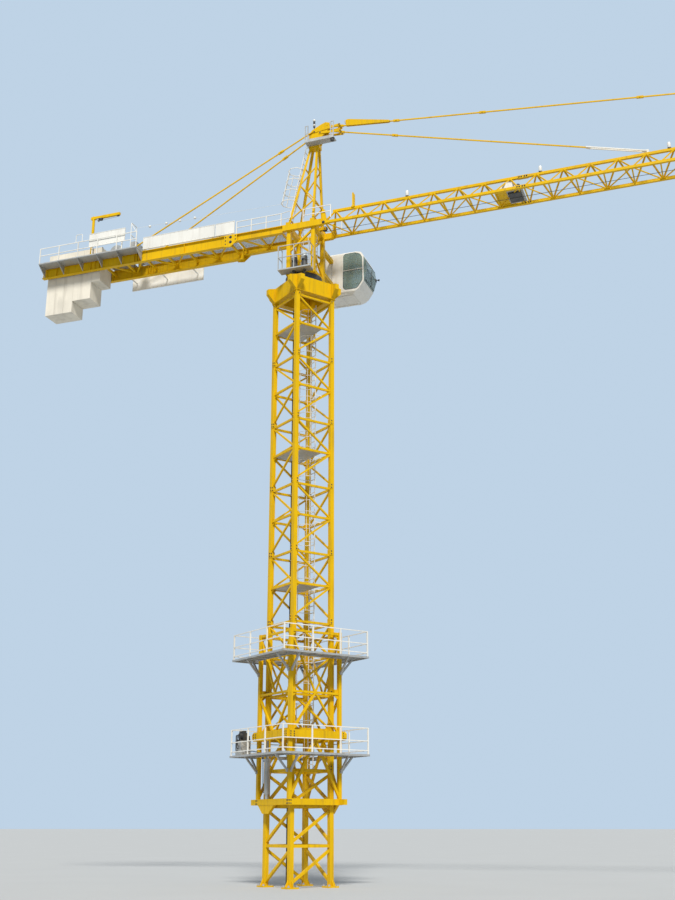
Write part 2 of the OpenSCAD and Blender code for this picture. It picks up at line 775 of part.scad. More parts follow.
module apex_platform() color(galvanised) at_axis() {
  z = head_z - cap_h + 80;
  posts = [apex_deck_x[0] + apex_rail_w / 2, apex_deck_x[1] - apex_rail_w / 2];
  pair = 70;
  block([apex_deck_x[0], apex_deck_y, z - 20], [apex_deck_x[1], -cap_y, z]);
  block([apex_deck_x[0], apex_deck_y - 8, z - 30], [apex_deck_x[1], apex_deck_y + 2, z + 45]);
  for (k = [0, 1]) {
    other = posts[k] + (k == 0 ? pair : -pair);
    for (x = [posts[k], other])
      block([x - apex_rail_w / 2, apex_deck_y, z], [x + apex_rail_w / 2, apex_deck_y + apex_rail_w, z + apex_rail_h]);
    for (h = [apex_rail_h / 2, apex_rail_h - 8])
      bar([posts[k], apex_deck_y + apex_rail_w / 2, z + h], [other, apex_deck_y + apex_rail_w / 2, z + h], apex_rail_w - 4);
  }
}

apex_x = 250;
apex_z = head_z + 375;
apex_plate_y = 60;
sheave_x = 600;
sheave_z = head_z + 500;

// Groove-rimmed sheave about the y axis
module sheave(r, t) {
  rotate([90, 0, 0]) cylinder(r = (1 - groove) * r, h = t, center = true, $fn = 48);
  for (s = [-1, 1]) translate([0, s * t / 3, 0]) rotate([90, 0, 0]) cylinder(r = r, h = t / 3, center = true, $fn = 48);
}

module apex_block() color(crane_yellow) at_axis() {
  for (s = [-1, 1])
    plate_xz([[cap_x0, head_z], [cap_x1, head_z], [cap_x1 + 70, head_z + 200], [sheave_x + 60, head_z + 400],
              [sheave_x + 60, head_z + 540], [sheave_x - 40, head_z + 580], [sheave_x - 160, head_z + 540],
              [200, head_z + 420], [cap_x0, head_z + 300]],
             s * apex_plate_y, apex_plate_t);
  translate([apex_x, 0, apex_z]) rotate([90, 0, 0]) cylinder(d = 60, h = 2 * apex_plate_y, center = true, $fn = 12);
  translate([sheave_x, 0, sheave_z]) {
    sheave(sheave_r, 40);
    rotate([90, 0, 0]) cylinder(d = 50, h = 160, center = true, $fn = 12);
  }
}

// Counter-jib

counter_joint = -counter_joint_x;
counter_end = -counter_reach;
flange_t = 16;
web_t = 12;

// I-beam along x with its top at the deck's height
module i_beam(x0, x1, depth)
  translate([x0, 0, deck_z])
    rotate([90, 0, 90]) linear_extrude(x1 - x0)
      polygon([
        [-beam_w / 2, 0], [-beam_w / 2, -flange_t], [-web_t / 2, -flange_t],
        [-web_t / 2, flange_t - depth], [-beam_w / 2, flange_t - depth], [-beam_w / 2, -depth],
        [beam_w / 2, -depth], [beam_w / 2, flange_t - depth], [web_t / 2, flange_t - depth],
        [web_t / 2, -flange_t], [beam_w / 2, -flange_t], [beam_w / 2, 0]
      ]);

module counter_bracing(x0, x1, panels, z, w) {
  pitch = (x1 - x0) / panels;
  for (i = [0:panels])
    bar([x0 + i * pitch, -beam_y, z], [x0 + i * pitch, beam_y, z], w);
  for (i = [0:panels - 1])
    bar([x0 + (i + (i % 2)) * pitch, -beam_y, z], [x0 + (i + 1 - i % 2) * pitch, beam_y, z], w - bar_step);
}

module counter_jib_inner() color(crane_yellow) at_axis() {
  for (s = [-1, 1]) translate([0, s * beam_y, 0]) i_beam(counter_joint, deck_back_x, inner_beam_d);
  counter_bracing(counter_joint + 100, deck_back_x - 80, 2, deck_z - inner_beam_d / 2, 40);
}

brace_end_x = -5300;
joint_plate_t = 12;

// Plate over the pinned joint of one beam, on its outer side
module joint_gusset(y)
  plate_xz([
    [counter_joint - 190, deck_z - outer_beam_d - 20], [counter_joint - 20, deck_z - outer_beam_d - 45],
    [counter_joint + 150, deck_z - inner_beam_d], [counter_joint + 150, deck_z - 4], [counter_joint - 190, deck_z - 4]
  ], y, joint_plate_t);

module counter_jib_outer() color(crane_yellow) at_axis() {
  for (s = [-1, 1]) translate([0, s * beam_y, 0]) {
    i_beam(counter_end, counter_joint, outer_beam_d);
    block([counter_joint - 24, -beam_w / 2, deck_z - outer_beam_d], [counter_joint, beam_w / 2, deck_z]);
  }
  for (s = [-1, 1]) joint_gusset(s * (beam_y + beam_w / 2 + joint_plate_t / 2));
  counter_bracing(brace_end_x, counter_joint - 100, 6, deck_z - outer_beam_d / 2, 46);
  bar([counter_end + 40, -beam_y, deck_z - outer_beam_d / 2], [counter_end + 40, beam_y, deck_z - outer_beam_d / 2], 60);
}

walkway_y0 = beam_y + beam_w / 2;
walkway_y1 = 715;
walkway_x0 = counter_end + 75;
walkway_x1 = counter_joint - 2425;
walkway_t = 30;
walkway_top = deck_z - flange_t;
bracket_t = 14;
brackets = 6;

module walkway_bracket(x)
  translate([x, 0, 0]) rotate([90, 0, 90]) linear_extrude(bracket_t)
    polygon([
      [-walkway_y0, walkway_top - walkway_t + 2], [-walkway_y1 + 20, walkway_top - walkway_t + 2],
      [-walkway_y1 + 20, walkway_top - walkway_t - 22], [-walkway_y0, deck_z - outer_beam_d + flange_t]
    ]);

module counter_jib_walkway() color(galvanised) at_axis() {
  pitch = (walkway_x1 - walkway_x0 - 2 * bracket_t) / (brackets - 1);
  block([walkway_x0, -walkway_y1, walkway_top - walkway_t], [walkway_x1, -walkway_y0, walkway_top]);
  for (i = [0:brackets - 1]) walkway_bracket(walkway_x0 + bracket_t / 2 + i * pitch);
}

module rail_line(a, b, height, posts) {
  for (i = [0:posts - 1]) {
    p = a + (b - a) * i / (posts - 1);
    block([p.x - 10, p.y - 10, p.z], [p.x + 10, p.y + 10, p.z + height]);
  }
  for (h = [height - 8, height / 2])
    bar([a.x, a.y, a.z + h], [b.x, b.y, b.z + h], 16);
}

module counter_jib_rails() color(white_paint) at_axis() {
  rail_line([walkway_x0 + 20, -walkway_y1 + 12, walkway_top], [walkway_x1 - 20, -walkway_y1 + 12, walkway_top], 420, 6);
  for (s = [-1, 1]) {
    y = s * (beam_y + 35);
    rail_line([counter_joint + 125, y, deck_z], [deck_back_x - 40, y, deck_z], 340, 4);
    rail_line([head_front_x - 230, y, deck_z], [deck_front_x + 250 - 35, y, deck_z], 340, 2);
  }
}

// Bare white panels: two on the near beam, one on arms beyond the far beam, one beside the winch
panel_t = 16;
panel_h = 325;
panel_l = 1950;
short_panel_l = 495;
far_panel_l = 2010;
far_panel_h = 365;
far_panel_y = 750;
winch_panel_l = 1000;
winch_panel_h = 350;

module banner_panels() color(white_paint) at_axis() {
  y = -beam_y - 20;
  short_x1 = counter_joint + 55;
  long_x1 = short_x1 - short_panel_l - 35;
  for (x = [[long_x1 - panel_l, long_x1], [short_x1 - short_panel_l, short_x1]]) {
    block([x[0], y - panel_t / 2, deck_z + 50], [x[1], y + panel_t / 2, deck_z + 50 + panel_h]);
    for (p = [x[0] + 60, x[1] - 60])
      block([p - 12, y + panel_t / 2, deck_z], [p + 12, y + panel_t / 2 + 24, deck_z + 50 + panel_h]);
  }
  far_x1 = counter_joint - 1305;
  arm_z = deck_z - outer_beam_d + flange_t;
  block([far_x1 - far_panel_l, far_panel_y - panel_t / 2, arm_z + 24 - 0.5 * far_panel_h],
        [far_x1, far_panel_y + panel_t / 2, arm_z + 24 + 0.5 * far_panel_h]);
  for (p = [far_x1 - far_panel_l + 140, far_x1 - far_panel_l / 2, far_x1 - 140])
    block([p - 12, beam_y + web_t / 2, arm_z], [p + 12, far_panel_y - panel_t / 2, arm_z + 24]);
  winch_y = -walkway_y1 + 40;
  block([winch_x - winch_panel_l / 2, winch_y, walkway_top + 240],
        [winch_x + winch_panel_l / 2, winch_y + panel_t, walkway_top + 240 + winch_panel_h]);
  for (p = [winch_x - winch_panel_l / 2 + 80, winch_x + winch_panel_l / 2 - 80])
    block([p - 12, winch_y + panel_t, walkway_top], [p + 12, winch_y + panel_t + 24, walkway_top + 240 + winch_panel_h]);
}

winch_x = counter_end + 2000;
drum_r = 130;
drum_y = 200;

// Hoist winch: bed plate, two bearing stands, flanged drum, gearbox and motor
module hoist_winch() color(galvanised) at_axis() {
  bed = deck_z + 30;
  axle_z = bed + 210;
  block([winch_x - 320, -beam_y - 40, deck_z], [winch_x + 320, beam_y + 40, bed]);
  for (s = [-1, 1]) {
    block([winch_x - 90, s * (drum_y + 50) - 20, bed], [winch_x + 90, s * (drum_y + 50) + 20, axle_z + 60]);
    translate([winch_x, s * drum_y, axle_z]) rotate([90, 0, 0]) cylinder(r = drum_r + 50, h = 16, center = true, $fn = 48);
  }
  translate([winch_x, 0, axle_z]) rotate([90, 0, 0]) cylinder(r = drum_r, h = 2 * drum_y + 80, center = true, $fn = 48);
  translate([winch_x + 215, 0, bed + 95]) rotate([90, 0, 0]) cylinder(r = 85, h = 380, center = true, $fn = 48);
  block([winch_x + 150, 160, bed], [winch_x + 290, 300, bed + 190]);
  block([winch_x - 310, -150, bed], [winch_x - 190, 150, bed + 160]);
}

slab_top_z = deck_z + 405;
slab_ear_h = 150;
ear_y = beam_y - beam_w / 4;

// How far each slab hangs below the deck, from the outer end inwards
slab_drops = [1275, 1275, 1275, 975, 975, 525];

module ballast() color(white_paint) at_axis()
  for (i = [0:len(slab_drops) - 1]) {
    x0 = counter_end + 85 + i * slab_t;
    block([x0, -slab_w / 2, deck_z - slab_drops[i]], [x0 + slab_t - slab_gap, slab_w / 2, slab_top_z]);
    block([x0, -ear_y, deck_z], [x0 + slab_t - slab_gap, ear_y, deck_z + slab_ear_h]);
  }

tie_x = counter_joint - 2900;
tie_w = 26;
tie_lug_h = 110;
tie_joint_l = 150;
tie_joint_w = 48;

// Thicker joint on a tie from a to b, at a share t of its length
module tie_joint(a, b, t) {
  along = (b - a) / norm(b - a);
  at = a + t * (b - a);
  bar(at - along * tie_joint_l / 2, at + along * tie_joint_l / 2, tie_joint_w);
  translate(at) rotate([90, 0, 0]) cylinder(d = 30, h = tie_joint_w + 30, center = true, $fn = 12);
}

module counter_ties() color(crane_yellow) at_axis()
  for (s = [-1, 1]) {
    y_low = s * beam_y;
    y_high = s * (apex_plate_y + apex_plate_t / 2 + tie_w / 2 + slack);
    block([tie_x - 60, y_low - tie_w / 2, deck_z], [tie_x + 60, y_low + tie_w / 2, deck_z + tie_lug_h]);
    low = [tie_x, y_low, deck_z + tie_lug_h / 2];
    high = [apex_x, y_high, apex_z];
    bar(low, high, tie_w);
    for (t = [0.03, 0.83]) tie_joint(low, high, t);
  }

davit_x = counter_end + 1385;
davit_z = deck_z + 1150;
davit_r = 36;
davit_y = -beam_y - beam_w / 2 + davit_r;

module davit_post() color(crane_yellow) at_axis()
  translate([davit_x, davit_y, deck_z]) cylinder(r = davit_r, h = davit_z - deck_z, $fn = 12);

module davit_arm() color(crane_yellow) at_axis() {
  translate([davit_x, davit_y, davit_z + slack]) cylinder(r = davit_r, h = 100, $fn = 12);
  block([davit_x - 70, davit_y - 30, davit_z + slack + 20], [davit_x + 760, davit_y + 30, davit_z + slack + 90]);
}

// Jib

jib_node_x = 500;
jib_post_x = 1250;
jib_bay = jib_section_l / jib_bays;

jib_sections = 5;
sleeve_l = 120;
sleeve_out = 7;

// Sleeves on the three chords where two sections are pinned together
module jib_sleeves(x) {
  half = jib_chord_w / 2 + sleeve_out;
  for (s = [-1, 1])
    block([x, s * beam_y - half, jib_low_z - jib_chord_w / 2], [x + sleeve_l, s * beam_y + half, jib_low_z + half]);
  block([x, -half, jib_top_z - half], [x + sleeve_l, half, jib_top_z + jib_chord_w / 2]);
}

// Inner end of the jib: foot plates at the deck, sloping end chord and a pair of posts
module jib_root() {
  for (s = [-1, 1]) {
    plate_xz([
      [deck_front_x, jib_low_z - 60], [deck_front_x + 110, jib_low_z - 30], [deck_front_x + 110, jib_low_z + 30],
      [deck_front_x + 50, deck_z + 250], [deck_front_x, deck_z + 250]
    ], s * beam_y, 46);
    bar([deck_front_x + jib_bar_w, s * beam_y, jib_low_z], [jib_node_x + jib_bay / 2, 0, jib_top_z], jib_bar_w + 6);
    block([jib_post_x - 18, s * 40 - 15, jib_top_z], [jib_post_x + 18, s * 40 + 15, jib_top_z + 385]);
  }
  block([jib_post_x - 40, -55, jib_top_z + 10], [jib_post_x + 40, 55, jib_top_z + 44]);
}

module jib_section(n) color(crane_yellow) at_axis() {
  first = n == 1;
  x0 = first ? deck_front_x : jib_node_x + (n - 1) * jib_section_l;
  x1 = jib_node_x + n * jib_section_l;
  base = jib_node_x + (n - 1) * jib_section_l;
  inset = jib_chord_w;
  if (first) jib_root();
  sleeve_ends = first ? [x1] : n == jib_sections ? [x0] : [x0, x1];
  for (e = sleeve_ends) jib_sleeves(e == x0 ? e : e - sleeve_l);
  for (s = [-1, 1]) {
    block([x0, s * beam_y - jib_chord_w / 2, jib_low_z - jib_chord_w / 2],
          [x1, s * beam_y + jib_chord_w / 2, jib_low_z + jib_chord_w / 2]);
    for (k = [0:jib_bays - 1]) {
      low_a = [max(base + k * jib_bay, x0 + inset), s * beam_y, jib_low_z];
      low_b = [min(base + (k + 1) * jib_bay, x1 - inset), s * beam_y, jib_low_z];
      high = [base + (k + 0.5) * jib_bay, 0, jib_top_z];
      bar(low_a, high, jib_bar_w);
      bar(high, low_b, jib_bar_w);
    }
  }
  block([first ? base + jib_bay / 2 - jib_chord_w : x0, -jib_chord_w / 2, jib_top_z - jib_chord_w / 2],
        [x1, jib_chord_w / 2, jib_top_z + jib_chord_w / 2]);
  for (k = [0:jib_bays]) {
    x = min(max(base + k * jib_bay, x0 + inset), x1 - inset);
    bar([x, -beam_y, jib_low_z], [x, beam_y, jib_low_z], jib_bar_w);
  }
  for (k = [0:jib_bays - 1]) {
    a = min(max(base + k * jib_bay, x0 + inset), x1 - inset);
    b = min(max(base + (k + 1) * jib_bay, x0 + inset), x1 - inset);
    side = k % 2 == 0 ? 1 : -1;
    bar([a, -side * beam_y, jib_low_z], [b, side * beam_y, jib_low_z], jib_bar_w - bar_step);
  }
}

// Ties of the jib, from the apex down to the top chord

jib_chord_top = jib_top_z + jib_chord_w / 2;
inner_tie_x = jib_node_x + 12.5 * jib_bay;
outer_tie_x = jib_node_x + 31.5 * jib_bay;
tie_start_x = 700;
tie_lug_t = 28;
lug_pin_h = 50;

inner_tie_top = [tie_start_x, 0, head_z + 330];
inner_tie_low = [inner_tie_x, 0, jib_chord_top + lug_pin_h];
outer_tie_top = [tie_start_x, 0, head_z + 460];
outer_tie_low = [outer_tie_x, 0, jib_chord_top + lug_pin_h];

// Lug on the top chord
module tie_lug(x) block([x - 70, -tie_lug_t / 2, jib_chord_top], [x + 70, tie_lug_t / 2, jib_chord_top + 80]);

// The inner tie ends between the plates of its fork
fork_share = 0.835;
fork_at = inner_tie_top + fork_share * (inner_tie_low - inner_tie_top);
fork_plate_w = 26;
fork_y = 28;

module inner_jib_tie() color(crane_yellow) at_axis() {
  bar(inner_tie_top, fork_at, tie_w);
  for (t = [0.035, 0.22]) tie_joint(inner_tie_top, inner_tie_low, t);
}

module inner_tie_fork() color(white_paint) at_axis() {
  along = (inner_tie_low - inner_tie_top) / norm(inner_tie_low - inner_tie_top);
  side = [0, fork_y, 0];
  for (s = [-1, 1])
    bar(fork_at - 60 * along + s * side, inner_tie_low + 30 * along + s * side, fork_plate_w);
  bar(fork_at + slack * along, fork_at + 40 * along, 2 * fork_y);
  translate(inner_tie_low) rotate([90, 0, 0]) cylinder(d = 30, h = 2 * fork_y + 40, center = true, $fn = 12);
  tie_lug(inner_tie_x);
}

// The outer tie carries the tapered link and its roller, with which the ties are hauled up
link_from = 0.02;
link_to = 0.078;
roller_r = 45;

module outer_jib_tie() color(crane_yellow) at_axis() {
  a = outer_tie_top + link_from * (outer_tie_low - outer_tie_top);
  b = outer_tie_top + link_to * (outer_tie_low - outer_tie_top);
  roller = a + [0, 0, 100];
  bar(outer_tie_top, outer_tie_low, tie_w);
  for (s = [-1, 1])
    plate_xz([[a.x, a.z - 20], [b.x, b.z - 25], [b.x + 40, b.z], [b.x, b.z + 28], [a.x + 60, a.z + 150], [a.x - 10, a.z + 140]], s * 26, 12);
  translate(roller) sheave(roller_r, 36);
  translate(roller) rotate([90, 0, 0]) cylinder(d = 24, h = 70, center = true, $fn = 12);
  block([a.x + 60, -22, a.z - 14], [a.x + 100, 22, a.z + 60]);
  for (t = [0.012, 0.088, 0.2, 0.39, 0.58, 0.77, 0.985]) tie_joint(outer_tie_top, outer_tie_low, t);
  tie_lug(outer_tie_x);
}

trolley_winch_x = jib_node_x + 7.5 * jib_bay;

// Trolley winch on a plate between the lower chords: drum with flanges, bearing stands and motor
module trolley_winch() color(galvanised) at_axis() {
  z = jib_low_z + jib_bar_w / 2;
  half = beam_y - jib_chord_w;
  reach = (jib_bay + jib_bar_w) / 2;
  plate_t = 16;
  axle_z = z + plate_t + 100;
  block([trolley_winch_x - reach, -half, z], [trolley_winch_x + reach, half, z + plate_t]);
  translate([trolley_winch_x, 0, axle_z]) rotate([90, 0, 0]) cylinder(r = 70, h = 230, center = true, $fn = 48);
  for (s = [-1, 1]) {
    translate([trolley_winch_x, s * 90, axle_z]) rotate([90, 0, 0]) cylinder(r = 92, h = 10, center = true, $fn = 48);
    block([trolley_winch_x - 40, s * 118 - 10, z + plate_t], [trolley_winch_x + 40, s * 118 + 10, axle_z + 40]);
  }
  block([trolley_winch_x + 110, -100, z + plate_t], [trolley_winch_x + 250, 100, z + plate_t + 120]);
}

// Trolley: two side plates with wheels on the lower chords, joined by beams that carry the rope sheaves

trolley_x = jib_node_x + 26 * jib_bay;
trolley_half = 320;
trolley_plate_t = 14;
wheel_r = 42;
wheel_y = beam_y + 3;
rope_r = 6;
rope_sheave_r = 60;
hook_sheave_r = 84;
sheave_t = 40;
// The two falls leave the hook's sheave and meet the trolley's at their grooves
groove = 0.14;
fall_x = (1 - groove) * hook_sheave_r + rope_r - slack;
rope_sheave_x = fall_x + rope_r + slack + (1 - groove) * rope_sheave_r;
wheel_x = 240;
trolley_low = jib_low_z - jib_chord_w / 2 - 130;
rope_sheave_z = trolley_low + 70;

module trolley() color(crane_yellow) at_axis() {
  plate_y = beam_y + jib_chord_w / 2 + 6;
  wheel_z = jib_low_z + jib_chord_w / 2 + slack + wheel_r;
  beam_top = jib_low_z - jib_chord_w / 2 - 20;
  for (s = [-1, 1]) {
    y0 = s > 0 ? plate_y : -plate_y - trolley_plate_t;
    block([trolley_x - trolley_half, y0, trolley_low], [trolley_x + trolley_half, y0 + trolley_plate_t, wheel_z + 30]);
    for (x = [-wheel_x, wheel_x])
      translate([trolley_x + x, s * (wheel_y + plate_y + 2) / 2, wheel_z])
        rotate([90, 0, 0]) cylinder(r = wheel_r, h = plate_y + 2 - wheel_y, center = true, $fn = 48);
  }
  for (x = [-wheel_x, wheel_x])
    block([trolley_x + x - 20, -plate_y - 5, trolley_low + 10], [trolley_x + x + 20, plate_y + 5, beam_top]);
  for (x = [-rope_sheave_x, rope_sheave_x]) translate([trolley_x + x, 0, rope_sheave_z]) {
    sheave(rope_sheave_r, sheave_t);
    rotate([90, 0, 0]) cylinder(d = 26, h = 80, center = true, $fn = 12);
  }
  for (s = [-1, 1])
    block([trolley_x - wheel_x, s * 34 - 6, trolley_low + 20], [trolley_x + wheel_x, s * 34 + 6, trolley_low + 110]);
}

// Hook block on two falls of rope: cheek plates, sheave, shank and hook
hook_drop = 1600;
hook_r = 95;
throat_r = 52;
hook_t = 44;
shank_w = 68;

module hook_shape()
  difference() {
    union() {
      circle(r = hook_r, $fn = 64);
      translate([-shank_w / 2, throat_r / 2]) square([shank_w, 145]);
    }
    circle(r = throat_r, $fn = 64);
    translate([-hook_r - 1, 0]) square([hook_r + 1 - shank_w / 2, hook_r + 1]);
  }

module hook_block() color(crane_yellow) at_axis() {
  sheave_at = jib_low_z - hook_drop;
  translate([trolley_x, 0, sheave_at]) {
    for (s = [-1, 1]) {
      plate_xz([[-150, 60], [-90, -100], [90, -100], [150, 60], [90, 130], [-90, 130]], s * 30, 14);
      block([s * fall_x - rope_r, -rope_r, 0], [s * fall_x + rope_r, rope_r, rope_sheave_z - sheave_at]);
    }
    sheave(hook_sheave_r, sheave_t);
    rotate([90, 0, 0]) cylinder(d = 40, h = 90, center = true, $fn = 12);
    block([-60, -40, -150], [60, 40, -hook_sheave_r - 4]);
    translate([0, hook_t / 2, -300]) rotate([90, 0, 0]) linear_extrude(hook_t) hook_shape();
  }
}

module mast_section_1() mast_section(1);
module mast_section_2() mast_section(2);
module mast_section_3() mast_section(3);
module mast_section_4() mast_section(4);
module mast_section_5() mast_section(5);
module mast_section_6() mast_section(6);
module mast_section_7() mast_section(7);
module jib_section_1() jib_section(1);
module jib_section_2() jib_section(2);
module jib_section_3() jib_section(3);
module jib_section_4() jib_section(4);
module jib_section_5() jib_section(5);

foot_plates();
base_section();
mast_section_1();
mast_section_2();
mast_section_3();
mast_section_4();
mast_section_5();
mast_section_6();
mast_section_7();
slewing_support();
slewing_ring_lower();
mast_ladder();
rest_platforms();
power_cable();
cage_frame();
cage_crosshead();
work_platforms();
work_platform_rails();
climbing_cylinder();
power_pack();
slewing_ring_upper();
cab_mast();
slewing_platform();
slewing_motors();
cab_bracket();
cab_body();
cab_glass();
cab_seat();
tower_head();
head_ladder();
apex_platform();
apex_block();
counter_jib_inner();
counter_jib_outer();
counter_jib_walkway();
counter_jib_rails();
banner_panels();
hoist_winch();
ballast();
counter_ties();
davit_post();
davit_arm();
jib_section_1();
jib_section_2();
jib_section_3();
jib_section_4();
jib_section_5();
trolley_winch();
inner_jib_tie();
inner_tie_fork();
outer_jib_tie();
trolley();
hook_block();
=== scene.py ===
import json
import math

import bmesh
import bpy
from mathutils import Matrix, Vector


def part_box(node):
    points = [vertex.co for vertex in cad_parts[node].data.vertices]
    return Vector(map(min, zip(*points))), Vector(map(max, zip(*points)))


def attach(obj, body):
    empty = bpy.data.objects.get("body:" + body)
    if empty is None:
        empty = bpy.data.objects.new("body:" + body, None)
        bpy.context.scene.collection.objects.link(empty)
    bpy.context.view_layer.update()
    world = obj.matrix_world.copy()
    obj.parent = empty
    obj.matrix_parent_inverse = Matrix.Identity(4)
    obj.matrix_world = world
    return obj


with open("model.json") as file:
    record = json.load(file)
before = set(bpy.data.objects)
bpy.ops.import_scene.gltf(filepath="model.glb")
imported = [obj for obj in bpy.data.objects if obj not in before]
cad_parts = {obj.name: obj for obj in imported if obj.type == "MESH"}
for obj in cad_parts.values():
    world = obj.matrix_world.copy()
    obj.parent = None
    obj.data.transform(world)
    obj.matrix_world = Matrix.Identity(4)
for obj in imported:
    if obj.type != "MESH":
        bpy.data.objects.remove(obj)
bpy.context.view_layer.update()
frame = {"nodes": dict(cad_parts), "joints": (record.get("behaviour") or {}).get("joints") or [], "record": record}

bl_info = {
    "name": "Tower Crane",
    "version": (1, 0, 0),
    "blender": (4, 5, 0),
    "location": "3D Viewport > Sidebar > Crane",
    "description": "Finishes and fittings for a tower crane with a climbing cage",
    "category": "Object",
}

# Places taken from the frame, in metres
JOINTS = {joint["name"]: joint for joint in frame["joints"]}
SLEW_AXIS = Vector(JOINTS["slewing"]["pos_m"])
FEET = {mount["name"]: Vector(mount["pos_m"]) for mount in frame["record"]["mounts"]}
MAST_SIDE = FEET["anchor_holes_right"] - FEET["anchor_holes_near"]
MAST_W = MAST_SIDE.length
MAST_TURN = math.atan2(MAST_SIDE.y, MAST_SIDE.x) - math.pi / 2

# Axes in which pieces are laid out: the mast's are turned, the upperworks' run along the jib
MAST = Matrix.Translation((SLEW_AXIS.x, SLEW_AXIS.y, 0)) @ Matrix.Rotation(MAST_TURN, 4, "Z")
TOP = Matrix.Translation((SLEW_AXIS.x, SLEW_AXIS.y, 0))

# The axes in which a piece is laid out, with the body that carries it
TOWER = (MAST, "tower")
CAGE = (MAST, "climbing_cage")
UPPERWORKS = (TOP, "upperworks")
DAVIT = (TOP, "davit")

# Distances of the steelwork and the slewing motors from the axes, and sizes of legs, beams and chords
HALF_MAST = MAST_W / 2
LEG_W = 0.095
CAGE_HALF = 0.6
CAGE_LEG = 0.075
DECK_OUT = 1.05
BEAM_Y = 0.36
BEAM_W = 0.1
BEAM_D = 0.285
FLANGE = 0.016
CHORD_W = 0.062
HEAD_X = 0.045
SLEW_MOTOR_X = (-0.06, 0.19)

CORNERS = [(1, -1), (1, 1), (-1, 1), (-1, -1)]
QUARTERS = [Matrix.Rotation(k * math.pi / 2, 3, "Z") for k in range(4)]

# Angles from which an edge is bevelled, and from which it is shaded sharp
BEVEL_FROM = 0.9
SHARP_FROM = math.radians(35)


def beside(node):
    """Lowest and highest corner of a node of the upperworks, measured from the slewing axis."""
    shift = Vector((SLEW_AXIS.x, SLEW_AXIS.y, 0))
    low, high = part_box(node)
    return low - shift, high - shift


def middle_x(node):
    """Where the middle of a node of the upperworks lies along the jib."""
    low, high = beside(node)
    return (low.x + high.x) / 2


# Heights and places that follow the frame's nodes
JOINT_Z = [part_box(f"mast_section_{n}")[0].z for n in range(1, 8)]
JOINT_Z.append(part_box("mast_section_7")[1].z)
SECTION_H = JOINT_Z[1] - JOINT_Z[0]
RING_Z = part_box("slewing_ring_lower")[0].z
ROTOR_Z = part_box("cab_mast")[0].z
DECK_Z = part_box("hoist_winch")[0].z
HEAD_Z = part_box("tower_head")[1].z
JIB_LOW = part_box("jib_section_3")[0].z + CHORD_W / 2
JIB_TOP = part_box("jib_section_3")[1].z - CHORD_W / 2
JIB_ENDS = [beside(f"jib_section_{n}")[1].x for n in range(1, 6)]
BEAM_JOINT = beside("counter_jib_outer")[1].x - 0.15
CAGE_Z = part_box("work_platform_rails")[0].z - 0.99
LOW_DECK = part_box("work_platform_rails")[0].z
HIGH_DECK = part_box("work_platforms")[1].z
CROSSHEAD_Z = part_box("cage_crosshead")[0].z


def openings(node, y):
    """Outlines of the holes in the flat side of a node that lies at y, from the slewing axis."""
    mesh = bmesh.new()
    mesh.from_mesh(frame["nodes"][node].data)
    bmesh.ops.remove_doubles(mesh, verts=mesh.verts, dist=0.0001)
    mesh.normal_update()
    flat = {
        face for face in mesh.faces
        if abs(face.normal.y) > 0.99 and abs(face.calc_center_median().y - SLEW_AXIS.y - y) < 0.001
    }
    rim = [edge for edge in mesh.edges if sum(face in flat for face in edge.link_faces) == 1]
    loops = []
    while rim:
        edge = rim.pop()
        start, here = edge.verts
        loop = [start]
        while here != start:
            loop.append(here)
            edge = next(near for near in here.link_edges if near in rim)
            rim.remove(edge)
            here = edge.other_vert(here)
        loops.append([Vector((v.co.x - SLEW_AXIS.x, v.co.y - SLEW_AXIS.y, v.co.z)) for v in loop])
    mesh.free()
    loops.sort(key=lambda loop: max(p.x for p in loop) - min(p.x for p in loop))
    return loops[:-1]


def steps_from(origin, *steps):
    """Places that lie so many metres in x, y and z from an origin."""
    return [tuple(start + step for start, step in zip(origin, each)) for each in steps]


